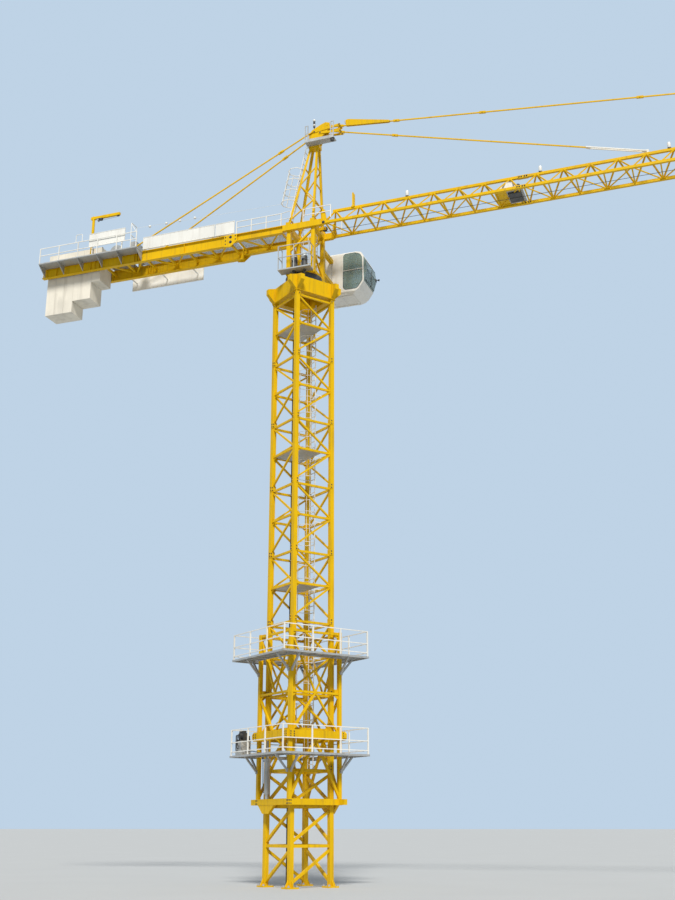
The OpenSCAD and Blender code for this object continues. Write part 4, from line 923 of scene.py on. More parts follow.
class CRANE_OT_slewing_fittings(CraneFitting, bpy.types.Operator):
    """Nuts of the slewing ring, flanges of the support beams and pinion housings"""

    bl_idname = "crane.slewing_fittings"
    bl_label = "Slewing fittings"

    def execute(self, context):
        sizes = context.scene.crane_sizes
        bolt_circle = 0.385
        seat_low = RING_Z - 0.025
        support_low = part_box("slewing_support")[1].z - 0.4
        nuts, heads = [], []
        for k in range(sizes.ring_bolts):
            angle = 2 * math.pi * (k + 0.5) / sizes.ring_bolts
            x, y = bolt_circle * math.cos(angle), bolt_circle * math.sin(angle)
            if max(abs(x), abs(y)) < HALF_MAST - 0.075:
                nuts.append(((x, y, seat_low), (0, 0, -1)))
            if max(abs(x - HEAD_X), abs(y)) > 0.38:
                heads.append(((x, y, ROTOR_Z), (0, 0, 1)))
        self.bolts("ring_nuts", nuts, "dark_metal", radius=0.018, height=0.018, place=TOWER)
        self.bolts("ring_heads", heads, "dark_metal", radius=0.016, height=0.012)
        self.support_flanges(support_low)
        self.support_bolts(support_low)
        self.pinions()
        return {"FINISHED"}

    def support_flanges(self, low):
        flanges = Shape(TOWER)
        reach, half = HALF_MAST + LEG_W / 2, 0.078
        for k in range(4):
            first = len(flanges.mesh.verts)
            shorter = 0.001 * (k % 2)
            start = (shorter - reach, -HALF_MAST - half, low - 0.014 + shorter)
            flanges.block(start, (reach - shorter, -HALF_MAST + half, low))
            flanges.turn(first, k)
        flanges.make("support_flanges", "crane_yellow")

    def support_bolts(self, low):
        spots = []
        for turn in QUARTERS:
            for side in (-1, 1):
                for dx in (-0.028, 0.028):
                    for z in (0.06, 0.13, 0.2, 0.27):
                        place = Vector((side * HALF_MAST + dx, -HALF_MAST - 0.05, low + z))
                        spots.append((turn @ place, turn @ Vector((0, -1, 0))))
        self.bolts("support_bolts", spots, "dark_metal", radius=0.011, height=0.008, place=TOWER)

    def pinions(self):
        low, high = beside("slewing_motors")
        housing = Shape()
        for x in SLEW_MOTOR_X:
            verts = housing.rings([(0.55, 0), (0.6, 0.02), (0.6, 0.06), (1, 0.07), (1, 0.1)], 0.042, 20)
            housing.lay(verts, (x, (low.y + high.y) / 2 - 0.02, ROTOR_Z - 0.07), (0, 0, 1))
        housing.make("pinion_housings", "dark_metal")


class CRANE_OT_cage_fittings(CraneFitting, bpy.types.Operator):
    """Bolts, plates and shoes' screws of the climbing cage"""

    bl_idname = "crane.cage_fittings"
    bl_label = "Climbing cage fittings"

    def execute(self, context):
        outer = CAGE_HALF + CAGE_LEG / 2
        beam_face, side_face = outer + CAGE_LEG, outer + CAGE_LEG - 0.015
        spots = []
        for side in (-1, 1):
            for end in (-1, 1):
                for dx in (-0.04, 0.04):
                    along, near = end * CAGE_HALF + dx, end * CAGE_HALF + dx * 0.5
                    for z in (CROSSHEAD_Z + 0.045, CROSSHEAD_Z + 0.09, CROSSHEAD_Z + 0.135):
                        spots.append(((along, side * beam_face, z), (0, side, 0)))
                        spots.append(((side * side_face, along, z), (side, 0, 0)))
                    for z in (CAGE_Z + 0.03, CAGE_Z + 0.09):
                        spots.append(((near, side * outer, z), (0, side, 0)))
                        spots.append(((side * outer, near, z), (side, 0, 0)))
        self.bolts("cage_bolts", spots, "dark_metal", radius=0.011, height=0.008, place=CAGE)
        cage_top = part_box("cage_frame")[1].z
        plates = Shape(CAGE)
        for turn in QUARTERS:
            for z in (cage_top - 0.022, CROSSHEAD_Z + 0.94):
                for side in (-1, 1):
                    x = side * (CAGE_HALF - CAGE_LEG / 2)
                    y = -CAGE_HALF - 0.005
                    outline = steps_from((x, y, z), (0, 0, -0.1), (-side * 0.03, 0, -0.1),
                                         (-side * 0.12, 0, -0.02), (-side * 0.12, 0, 0.02), (0, 0, 0.02))
                    plates.prism([turn @ Vector(p) for p in outline], turn @ Vector((0, 0.01, 0)))
        plates.make("cage_gussets", "crane_yellow")
        return {"FINISHED"}


class CRANE_OT_treads(CraneFitting, bpy.types.Operator):
    """Raised lugs on the platforms and the walkway, so that nobody slips"""

    bl_idname = "crane.treads"
    bl_label = "Platform treads"

    def execute(self, context):
        pitch = context.scene.crane_sizes.tread_pitch
        inner = CAGE_HALF + CAGE_LEG / 2
        middle = ((inner - DECK_OUT) / 2, -(inner + DECK_OUT) / 2)
        size = (DECK_OUT + inner - 0.1, DECK_OUT - inner - 0.09)
        spots = []
        for z in (LOW_DECK, HIGH_DECK):
            for turn in QUARTERS:
                spots.append((turn @ Vector((*middle, z)), turn @ Vector((1, 0, 0))))
        self.field("cage_treads", spots, size, pitch, CAGE)
        edge = 0.06
        for name, node, far_edge, lift in (
            ("walkway_treads", "counter_jib_walkway", 0.03, 0.0),
            ("slewing_treads", "slewing_platform", edge, -0.6),
        ):
            low, high = beside(node)
            size = (high.x - low.x - edge, high.y - low.y - edge - far_edge)
            place = ((low.x + high.x) / 2, (low.y + edge + high.y - far_edge) / 2, high.z + lift)
            self.field(name, [(place, (1, 0, 0))], size, pitch, UPPERWORKS)
        low, high = beside("apex_platform")
        size = (high.x - low.x - 0.06, high.y - low.y - 0.09)
        place = ((low.x + high.x) / 2, (low.y + high.y) / 2 + 0.01, HEAD_Z - 0.02)
        self.field("apex_treads", [(place, (1, 0, 0))], size, pitch, UPPERWORKS)
        return {"FINISHED"}

    def field(self, name, spots, size, pitch, place):
        """Lugs at even steps over plates of one size."""
        length, width = size
        columns, rows = round(length / pitch) + 1, round(width / pitch) + 1
        sizes = {"Length": length, "Width": width, "Columns": columns, "Rows": rows, "Lug": pitch * 0.6}
        self.recipe(tread_recipe).grow(name, spots_mesh(spots), place, "galvanised", sizes)


class CRANE_OT_power_pack_fittings(CraneFitting, bpy.types.Operator):
    """Pipes, hoses and valves of the cage's power pack, with its cap, gauge and cooling fins"""

    bl_idname = "crane.power_pack_fittings"
    bl_label = "Power pack fittings"

    # The tank's low and high side, the cylinder's axis, and the height and radius at each port
    corner = -DECK_OUT + 0.09
    side = corner + 0.23
    ram_x = -0.26
    ports = ((LOW_DECK - 0.12, 0.067), (LOW_DECK - 0.74, 0.055))

    def execute(self, context):
        motor = (self.corner + 0.115, self.corner + 0.06, LOW_DECK + 0.395)
        self.hoses()
        self.valves(motor)
        self.pipes()
        self.fins("power_pack_fins", [(motor, (0, 1, 0))], 0.078, 0.11, 0.014, 26, place=CAGE)
        self.parts()
        return {"FINISHED"}

    def hoses(self):
        corner, deck, top, hoses = self.corner, LOW_DECK, LOW_DECK + 0.42, []
        for k in range(3):
            x, away, foot = corner + 0.06 + 0.05 * k, corner - 0.03 - 0.01 * k, deck + 0.09 + 0.05 * k
            hoses.append([(x, corner + 0.03, top), (x, away, top), (x, away, foot), (x, corner, foot)])
        for k, y in enumerate((corner + 0.15, corner + 0.19)):
            foot = 0.1 + 0.06 * k
            steps = (-0.03, 0, 0.36), (0.035, 0, 0.36), (0.035, 0, foot), (0, 0, foot)
            hoses.append(steps_from((self.side, y, deck), *steps))
        self.tubes("power_pack_hoses", hoses, "black_rubber", 0.007, bend=0.035, place=CAGE)

    def valves(self, motor):
        corner, side, deck = self.corner, self.side, LOW_DECK
        valves = Shape(CAGE)
        valves.block((corner + 0.13, corner + 0.125, deck + 0.298), (side - 0.01, side - 0.012, deck + 0.4))
        for y in (corner + 0.15, corner + 0.19):
            valves.rod(*steps_from((corner, y, deck), (0.17, 0, 0.395), (0.185, -0.01, 0.47)), 0.006, 0.009)
        valves.block(*steps_from(motor, (-0.03, -0.03, 0.07), (0.03, 0.03, 0.1)))
        valves.make("power_pack_valves", "dark_metal", bevel=0.003)

    def pipes(self):
        """Pipes round the cage's leg to the two ports of the climbing cylinder."""
        side, deck, pipes = self.side, LOW_DECK, []
        for k, (port, radius) in enumerate(self.ports):
            y, gap = -0.80 - 0.05 * k, 0.02 * k
            pipes.append([
                (side - 0.01, y, deck + 0.09), (side + 0.05, y, deck + 0.09),
                (side + 0.05, -0.68 - gap, deck + 0.09), (-0.5 + gap, -0.68 - gap, deck + 0.06),
                (-0.45 + gap, -0.607, deck + 0.03), (-0.42 + gap, -0.607, port),
                (self.ram_x - radius * 0.9, -0.6, port)])
        self.tubes("hydraulic_pipes", pipes, "dark_metal", 0.0085, bend=0.03, place=CAGE)

    def parts(self):
        """Skin and cap of the tank, gauge, pipe unions and the port blocks."""
        corner, side, deck = self.corner, self.side, LOW_DECK
        parts = Shape(CAGE)
        start = (corner - 0.002, corner - 0.002, deck + 0.004)
        parts.block(start, (side + 0.002, side + 0.002, deck + 0.296))
        parts.rod(*steps_from((corner, corner, deck), (0.05, 0.19, 0.3), (0.05, 0.19, 0.335)), 0.028)
        parts.rod(*steps_from((side, corner, deck), (0, 0.05, 0.2), (0.012, 0.05, 0.2)), 0.03, sides=20)
        for y in (-0.80, -0.85):
            parts.rod((side, y, deck + 0.09), (side + 0.022, y, deck + 0.09), 0.015, sides=6)
        for port, radius in self.ports:
            x = self.ram_x - radius
            parts.block((x - 0.018, -0.618, port - 0.018), (x + 0.012, -0.582, port + 0.018))
        parts.make("power_pack_parts", "galvanised", bevel=0.002)


class CRANE_OT_motor_fins(CraneFitting, bpy.types.Operator):
    """Cooling fins, fan covers and boxes of the slewing and winch motors, and the trolley winch's covers"""

    bl_idname = "crane.motor_fins"
    bl_label = "Motors"

    def execute(self, context):
        low, high = beside("slewing_motors")
        motor_y = (low.y + high.y) / 2
        spots = [((x, motor_y, high.z - 0.135), (0, 0, 1)) for x in SLEW_MOTOR_X]
        self.fins("slewing_fins", spots, 0.064, 0.1, 0.014, 22)
        covers = Shape()
        for x in SLEW_MOTOR_X:
            verts = covers.rings([(1, 0), (1, 0.02), (0.93, 0.034), (0.7, 0.042), (0.2, 0.044)], 0.066, 24)
            covers.lay(verts, (x, motor_y, high.z - 0.03), (0, 0, 1))
            covers.block(*steps_from((x, motor_y, high.z), (-0.03, -0.105, -0.12), (0.03, -0.06, -0.05)))
        covers.make("motor_covers", "galvanised", bevel=0.002)
        self.winch_motor()
        self.trolley_motor()
        return {"FINISHED"}

    def winch_motor(self):
        winch_x = middle_x("hoist_winch")
        axle = Vector((winch_x + 0.215, -0.19, DECK_Z + 0.125))
        self.fins("hoist_fins", [(axle, (0, 1, 0))], 0.09, 0.28, 0.018, 30)
        cover = Shape()
        verts = cover.rings([(1, 0), (1, 0.05), (0.9, 0.07), (0.5, 0.076)], 0.104, 28)
        cover.lay(verts, axle, (0, -1, 0))
        cover.block(axle + Vector((-0.05, 0.06, 0.08)), axle + Vector((0.05, 0.17, 0.14)))
        cover.make("hoist_motor_cover", "dark_metal", bevel=0.002)

    def trolley_motor(self):
        low, high = beside("trolley_winch")
        winch_x = middle_x("trolley_winch")
        axle = Vector((winch_x + 0.18, -0.11, JIB_LOW + 0.206))
        self.fins("trolley_fins", [(axle, (0, 1, 0))], 0.05, 0.16, 0.012, 20)
        box = Shape()
        verts = box.rings([(0.5, -0.02), (1, 0), (1, 0.19), (0.9, 0.2)], 0.046, 20)
        box.lay(verts, axle, (0, 1, 0))
        box.block((winch_x - 0.03, -0.2, JIB_LOW - 0.03), (winch_x + 0.26, 0.2, JIB_LOW + 0.0145))
        box.make("trolley_winch_box", "dark_metal", bevel=0.004)
        tray = Shape()
        start = (low.x + 0.004, low.y + 0.004, low.z - 0.004)
        tray.block(start, (winch_x - 0.06, high.y - 0.004, low.z + 0.001))
        for y in (low.y + 0.02, high.y - 0.02):
            tray.block((low.x + 0.006, y - 0.012, low.z - 0.022), (winch_x - 0.062, y + 0.012, low.z))
        tray.make("trolley_winch_tray", "crane_yellow", bevel=0.001)
        guards = []
        for y in (-0.12, 0.12):
            guards.append(arc((winch_x - 0.03, y, low.z + 0.1), 0.21, -20, 200, 24, up=(0, 0, 1)))
        plates = Shape()
        for outline in guards:
            plates.prism(outline, (0, 0.006, 0))
        plates.make("trolley_winch_covers", "white_panel", bevel=0.001)
        self.tubes("trolley_winch_guards", guards, "white_rail", 0.008)


class CRANE_OT_cab_trim(CraneFitting, bpy.types.Operator):
    """Window seals, seams, strips, wiper, rails, mirror, lamp, roof unit and floor ribs of the cab"""

    bl_idname = "crane.cab_trim"
    bl_label = "Cab trim"

    def execute(self, context):
        low, high = beside("cab_body")
        self.seals(low, high)
        self.panels(low, high)
        self.outside(low, high)
        return {"FINISHED"}

    def seals(self, low, high):
        rims = openings("cab_body", low.y) + openings("cab_body", high.y)
        self.tubes("window_seals", rims, "black_rubber", 0.0055, closed=True, sides=6)
        near, far, middle = low.y + 0.012, high.y - 0.012, (low.y + high.y) / 2
        seams = [[(x, near, z), (x, far, z)] for x, z in self.pane(low)]
        self.tubes("front_bars", seams, "black_rubber", 0.006)
        (low_x, low_z), (belly_x, belly_z), (top_x, top_z) = self.pane(low)
        pivot = (low_x - 0.012, middle + 0.1, low_z - 0.03)
        grip = (belly_x - 0.005, middle - 0.02, belly_z - 0.05)
        arm = [pivot, (low_x + 0.03, middle + 0.07, low_z + 0.03), grip]
        blade_top = (top_x + 0.028, middle + 0.03, top_z - 0.1)
        blade = [(low_x + 0.045, middle - 0.06, low_z + 0.1), grip, blade_top]
        self.tubes("wiper", [arm, blade], "black_rubber", 0.005, bend=0.02)

    def pane(self, low):
        """Where the front glass is creased, as x and z from the slewing axis: sill, belly and brow."""
        return [(low.x + x, low.z + z) for x, z in ((1.034, 0.335), (1.103, 0.57), (1.067, 0.82))]

    def panels(self, low, high):
        strip = Shape()
        for y in (low.y, high.y):
            start = (low.x + 0.21, y - 0.004, low.z + 0.055)
            strip.block(start, (low.x + 0.455, y + 0.004, high.z - 0.055))
        strip.make("cab_side_strips", "white_panel", bevel=0.002)
        a, b, y, foot, top = low.x + 0.02, low.x + 0.195, low.y - 0.001, low.z + 0.07, high.z - 0.07
        door = [(a, y, foot), (b, y, foot), (b, y, top), (a, y, top)]
        a, b, x, foot, top = low.y + 0.1, high.y - 0.1, low.x - 0.001, low.z + 0.09, high.z - 0.12
        rear = [(x, a, foot), (x, b, foot), (x, b, top), (x, a, top)]
        self.tubes("cab_seams", [door, rear], "black_rubber", 0.003, bend=0.03, closed=True, sides=6)
        spots = []
        for y, out in ((low.y - 0.004, -1), (high.y + 0.004, 1)):
            for x in (low.x + 0.225, low.x + 0.44):
                for k in range(8):
                    spots.append(((x, y, low.z + 0.1 + k * (high.z - low.z - 0.2) / 7), (0, out, 0)))
        self.bolts("cab_rivets", spots, "white_rail", radius=0.005, height=0.002, stud=1.4)
        ribs = Shape()
        for x in (low.x + 0.06, low.x + 0.36, low.x + 0.66):
            ribs.block((x, low.y + 0.06, low.z - 0.014), (x + 0.05, high.y - 0.06, low.z + 0.002))
        for y in (low.y + 0.09, high.y - 0.13):
            ribs.block((low.x + 0.02, y, low.z - 0.022), (low.x + 0.73, y + 0.04, low.z + 0.002))
        ribs.make("cab_floor_ribs", "white_panel", bevel=0.002)

    def outside(self, low, high):
        front_corner = (high.x, high.y, low.z)
        rails = [
            steps_from(low, (0.13, 0.002, 0.3), (0.13, -0.045, 0.3), (0.13, -0.045, 0.8),
                       (0.13, 0.002, 0.8)),
            steps_from(low, (0.36, 0.004, 0.004), (0.36, -0.03, -0.04), (0.56, -0.03, -0.04),
                       (0.56, 0.004, 0.004)),
            steps_from(front_corner, (-0.25, -0.002, 0.75), (-0.2, 0.07, 0.8), (-0.2, 0.07, 0.72)),
        ]
        self.tubes("cab_rails", rails, "white_rail", 0.008, bend=0.025)
        vent = Shape()
        x0, y0 = low.x + 0.16, low.y + 0.2
        vent.block((x0, y0, high.z - 0.004), (x0 + 0.36, high.y - 0.2, high.z + 0.075))
        vent.rod(*steps_from((x0, y0, high.z), (0.18, 0.175, 0.07), (0.18, 0.175, 0.085)), 0.11, sides=28)
        vent.block(*steps_from(front_corner, (-0.225, 0.055, 0.6), (-0.175, 0.07, 0.74)))
        vent.make("cab_roof_unit", "white_panel", bevel=0.006)
        lamp = Shape()
        front, belly_z = self.pane(low)[1]
        y, z = high.y - 0.04, belly_z + 0.03
        lamp.rod((front + 0.035, y, z), (front + 0.08, y, z - 0.008), 0.014, 0.028, sides=20)
        lamp.beam((front - 0.02, y, z), (front + 0.045, y, z), 0.016, 0.012)
        lamp.block((front - 0.02, y - 0.03, z - 0.04), (front + 0.008, y + 0.03, z + 0.03))
        lamp.make("cab_front_lamp", "dark_metal", bevel=0.001)
        slats = {"Length": 0.32, "Width": 0.02, "Bars": 22, "Rods": 2, "Bar height": 0.05}
        spots = [((x0 + 0.18, y, high.z + 0.035), (0, 0, 1)) for y in (y0 - 0.002, high.y - 0.198)]
        self.recipe(grating_recipe).grow("vent_slats", spots_mesh(spots), UPPERWORKS, "dark_metal", slats)


class CRANE_OT_cab_mast_ladder(CraneFitting, bpy.types.Operator):
    """Ladder inside the cab mast, from the slewing ring up to the deck"""

    bl_idname = "crane.cab_mast_ladder"
    bl_label = "Cab mast ladder"

    def execute(self, context):
        x, half, low, high = 0.296, 0.1, ROTOR_Z + 0.02, DECK_Z - 0.02
        pitch = 0.15
        paths = [[(x, side * half, low), (x, side * half, high)] for side in (-1, 1)]
        for k in range(1, int((high - low) / pitch) + 1):
            z = low + k * pitch - 0.05
            paths.append([(x, -half, z), (x, half, z)])
        self.tubes("cab_mast_ladder", paths, "white_rail", 0.009)
        hoops = [arc((x - 0.16, 0, low + 0.3 + 0.3 * k), 0.19, 32, 328, 18) for k in range(4)]
        for angle in (120, 180, 240):
            place = around((x - 0.16, 0, 0), 0.19, angle)
            hoops.append([place + Vector((0, 0, low + 0.29)), place + Vector((0, 0, low + 1.21))])
        self.tubes("cab_mast_hoops", hoops, "white_rail", 0.006)
        return {"FINISHED"}


class CRANE_OT_hoist_rope(CraneFitting, bpy.types.Operator):
    """Rope from the hoist drum over the head's sheaves and under the jib to its tip"""

    bl_idname = "crane.hoist_rope"
    bl_label = "Hoist rope"

    def execute(self, context):
        rope = context.scene.crane_sizes.rope_radius
        winch_x = middle_x("hoist_winch")
        axle_z = DECK_Z + 0.24
        drum_r = 0.13
        upper = Vector((0.33, 0, DECK_Z + 0.09))
        lower = Vector((0.53, 0, JIB_LOW + 0.035))
        wheel = 0.062
        tip = JIB_ENDS[-1] - 0.06
        trolley = middle_x("trolley")
        sheave_z = JIB_LOW - CHORD_W / 2 - 0.06
        sheave_x = 0.1297
        run_z = sheave_z + 0.0576
        path = [Vector((winch_x, 0, axle_z + drum_r + rope))]
        path += arc(upper, wheel, 95, -35, 8, up=(0, 0, 1))
        path += [Vector((lower.x - 0.02, 0, run_z + 0.012)), Vector((lower.x + 0.02, 0, run_z))]
        path += [Vector((trolley - sheave_x, 0, run_z))]
        second = [Vector((trolley + sheave_x, 0, run_z)), Vector((tip, 0, run_z))]
        self.tubes("hoist_rope", [path, second], "dark_metal", rope, sides=6, look="rope_steel")
        hook_sheave_z = beside("hook_block")[0].z + 0.395
        falls = []
        for x in (trolley - 0.0779, trolley + 0.0779):
            falls.append([(x, 0, hook_sheave_z), (x, 0, sheave_z)])
        self.tubes("rope_falls", falls, "dark_metal", 0.0088, sides=12, look="rope_steel")
        self.winding("hoist_winding", (winch_x, 0, axle_z), drum_r, rope, 30.0, 0.36)
        axle = (middle_x("trolley_winch"), 0, JIB_LOW + 0.131)
        self.winding("trolley_winding", axle, 0.07, rope * 0.7, 18.0, 0.16)
        self.sheaves(upper, lower, wheel, tip, run_z)
        return {"FINISHED"}

    def sheaves(self, upper, lower, wheel, tip, run_z):
        profile = [(0.9, -0.016), (1.15, -0.013), (0.98, 0), (1.15, 0.013), (0.9, 0.016)]
        wheels = Shape()
        for centre in (upper, lower):
            verts = wheels.rings(profile, wheel - 0.004, 24)
            wheels.lay(verts, centre, (0, 1, 0))
            wheels.rod(centre - Vector((0, 0.035, 0)), centre + Vector((0, 0.035, 0)), 0.014)
        wheels.make("rope_sheaves", "dark_metal")
        cheeks = Shape()
        foot, top, thick = DECK_Z - 0.012, upper.z + 0.03, (0, 0.008, 0)
        for side in (-1, 1):
            y = side * 0.026 - 0.004
            cheeks.prism([(upper.x - 0.045, y, foot), (upper.x + 0.045, y, foot),
                          (upper.x + 0.035, y, top), (upper.x - 0.035, y, top)], thick)
            cheeks.prism([(0.395, y, lower.z - 0.03), (lower.x + 0.03, y, lower.z - 0.03),
                          (lower.x + 0.03, y, lower.z + 0.03), (0.395, y, lower.z + 0.06)], thick)
        cheeks.block((tip - 0.03, -0.35, run_z - 0.025), (tip + 0.01, 0.35, run_z + 0.01))
        cheeks.make("sheave_cheeks", "crane_yellow", bevel=0.001)


class CRANE_OT_jib_pins(CraneFitting, bpy.types.Operator):
    """Pins of the jib's section joints, its root and its end plate"""

    bl_idname = "crane.jib_pins"
    bl_label = "Jib pins"

    def execute(self, context):
        half = CHORD_W / 2 + 0.007
        spots = []
        for joint in JIB_ENDS[:-1]:
            for x in (joint - 0.085, joint - 0.035, joint + 0.035, joint + 0.085):
                spots += both_sides(x, BEAM_Y + half, JIB_LOW + 0.004)
                spots += both_sides(x, half - BEAM_Y, JIB_LOW + 0.004)
                spots += both_sides(x, half, JIB_TOP - 0.004)
        self.bolts("jib_pins", spots, "dark_metal", radius=0.015, height=0.012)
        root = both_sides(0.63, BEAM_Y + CHORD_W / 2, JIB_LOW)
        self.bolts("jib_root_pins", root, "dark_metal", radius=0.03, height=0.014)
        plates = Shape()
        end = JIB_ENDS[-1]
        for y in (-BEAM_Y, BEAM_Y):
            plates.block(*steps_from((end, y, JIB_LOW), (-0.004, -0.045, -0.045), (0.008, 0.045, 0.045)))
        plates.block((end - 0.004, -0.045, JIB_TOP - 0.045), (end + 0.008, 0.045, JIB_TOP + 0.035))
        plates.make("jib_end_plates", "crane_yellow", bevel=0.001)
        return {"FINISHED"}


class CRANE_OT_tie_links(CraneFitting, bpy.types.Operator):
    """Link plates between the apex block and the jib ties, with their pins, and the sheaves' rims"""

    bl_idname = "crane.tie_links"
    bl_label = "Tie links"

    def execute(self, context):
        plates, pins, rims = Shape(), Shape(), Shape()
        links = [
            ((0.27, HEAD_Z + 0.36), (0.915, HEAD_Z + 0.433)),
            ((0.42, HEAD_Z + 0.31), (0.945, HEAD_Z + 0.255)),
        ]
        for (x0, z0), (x1, z1) in links:
            for side in (-1, 1):
                plates.beam((x0 - 0.04, side * 0.082, z0), (x1 + 0.03, side * 0.082, z1), 0.012, 0.062)
            for x, z in ((x0, z0), (x1, z1)):
                pins.rod((x, -0.096, z), (x, 0.096, z), 0.02, sides=20)
        tie_end = beside("outer_jib_tie")[1].x - 0.07
        roller_x = 0.7 + 0.02 * (tie_end - 0.7)
        for x, z, radius, half in ((0.6, HEAD_Z + 0.5, 0.1, 0.02), (roller_x, HEAD_Z + 0.52, 0.045, 0.018)):
            for side in (-1, 1):
                rims.rod((x, side * half, z), (x, side * (half + 0.003), z), radius + 0.003, sides=36)
        plates.make("tie_link_plates", "crane_yellow", bevel=0.002)
        pins.make("tie_link_pins", "dark_metal", bevel=0.002)
        rims.make("sheave_rims", "galvanised", bevel=0.001)
        return {"FINISHED"}


class CRANE_OT_lamps(CraneFitting, bpy.types.Operator):
    """Warning lamps on the jib, white globes over the counter-jib, and the light at the apex"""

    bl_idname = "crane.lamps"
    bl_label = "Lamps"

    def execute(self, context):
        radius = context.scene.crane_sizes.lamp_radius
        chord_top = JIB_TOP + CHORD_W / 2
        jib_lamp_x, globe_x = (2.575, 5.695, 8.5), (-3.985, -3.525, -3.15, -2.74)
        mast_x = 0.235
        lamps, bases = Shape(), Shape()
        for x in jib_lamp_x:
            verts = lamps.rings([(0.9, 0), (1, 0.008), (1, 0.115), (0.8, 0.14), (0.3, 0.15)], radius, 20)
            lamps.lay(verts, (x, 0, chord_top + 0.02), (0, 0, 1))
            bases.rod((x, 0, chord_top - 0.002), (x, 0, chord_top + 0.022), radius * 1.15, sides=20)
        globe_y, globe_z = -0.4, DECK_Z + 0.675
        for x in globe_x:
            lamps.ball((x, globe_y, globe_z - 0.02), 0.034)
        for z, stretch in ((HEAD_Z + 0.6, 0.85), (HEAD_Z + 0.74, 1.0)):
            lamps.ball((mast_x, 0, z), 0.036, (1, 1, stretch))
        lamps.make("lamp_globes", "white_rail", look="lamp_glass")
        bases.rod((mast_x, 0, HEAD_Z + 0.3), (mast_x, 0, HEAD_Z + 0.575), 0.011)
        for z in (HEAD_Z + 0.568, HEAD_Z + 0.65, HEAD_Z + 0.7):
            bases.rod((mast_x, 0, z - 0.024), (mast_x, 0, z + 0.014), 0.026, sides=20)
        bases.rod((0.8, -0.25, HEAD_Z - 0.105), (0.8, -0.25, HEAD_Z - 0.035), 0.05, 0.03, sides=24)
        bases.block((0.74, -0.26, HEAD_Z - 0.05), (0.86, -0.24, HEAD_Z - 0.036))
        bases.make("lamp_bases", "dark_metal", bevel=0.001)
        start = (-4.33, globe_y - 0.303, DECK_Z + 0.66)
        wire = [[start, (-4.33, globe_y, globe_z), (-0.1, globe_y + 0.16, globe_z)]]
        self.tubes("globe_wire", wire, "white_rail", 0.0025, sides=6)
        return {"FINISHED"}


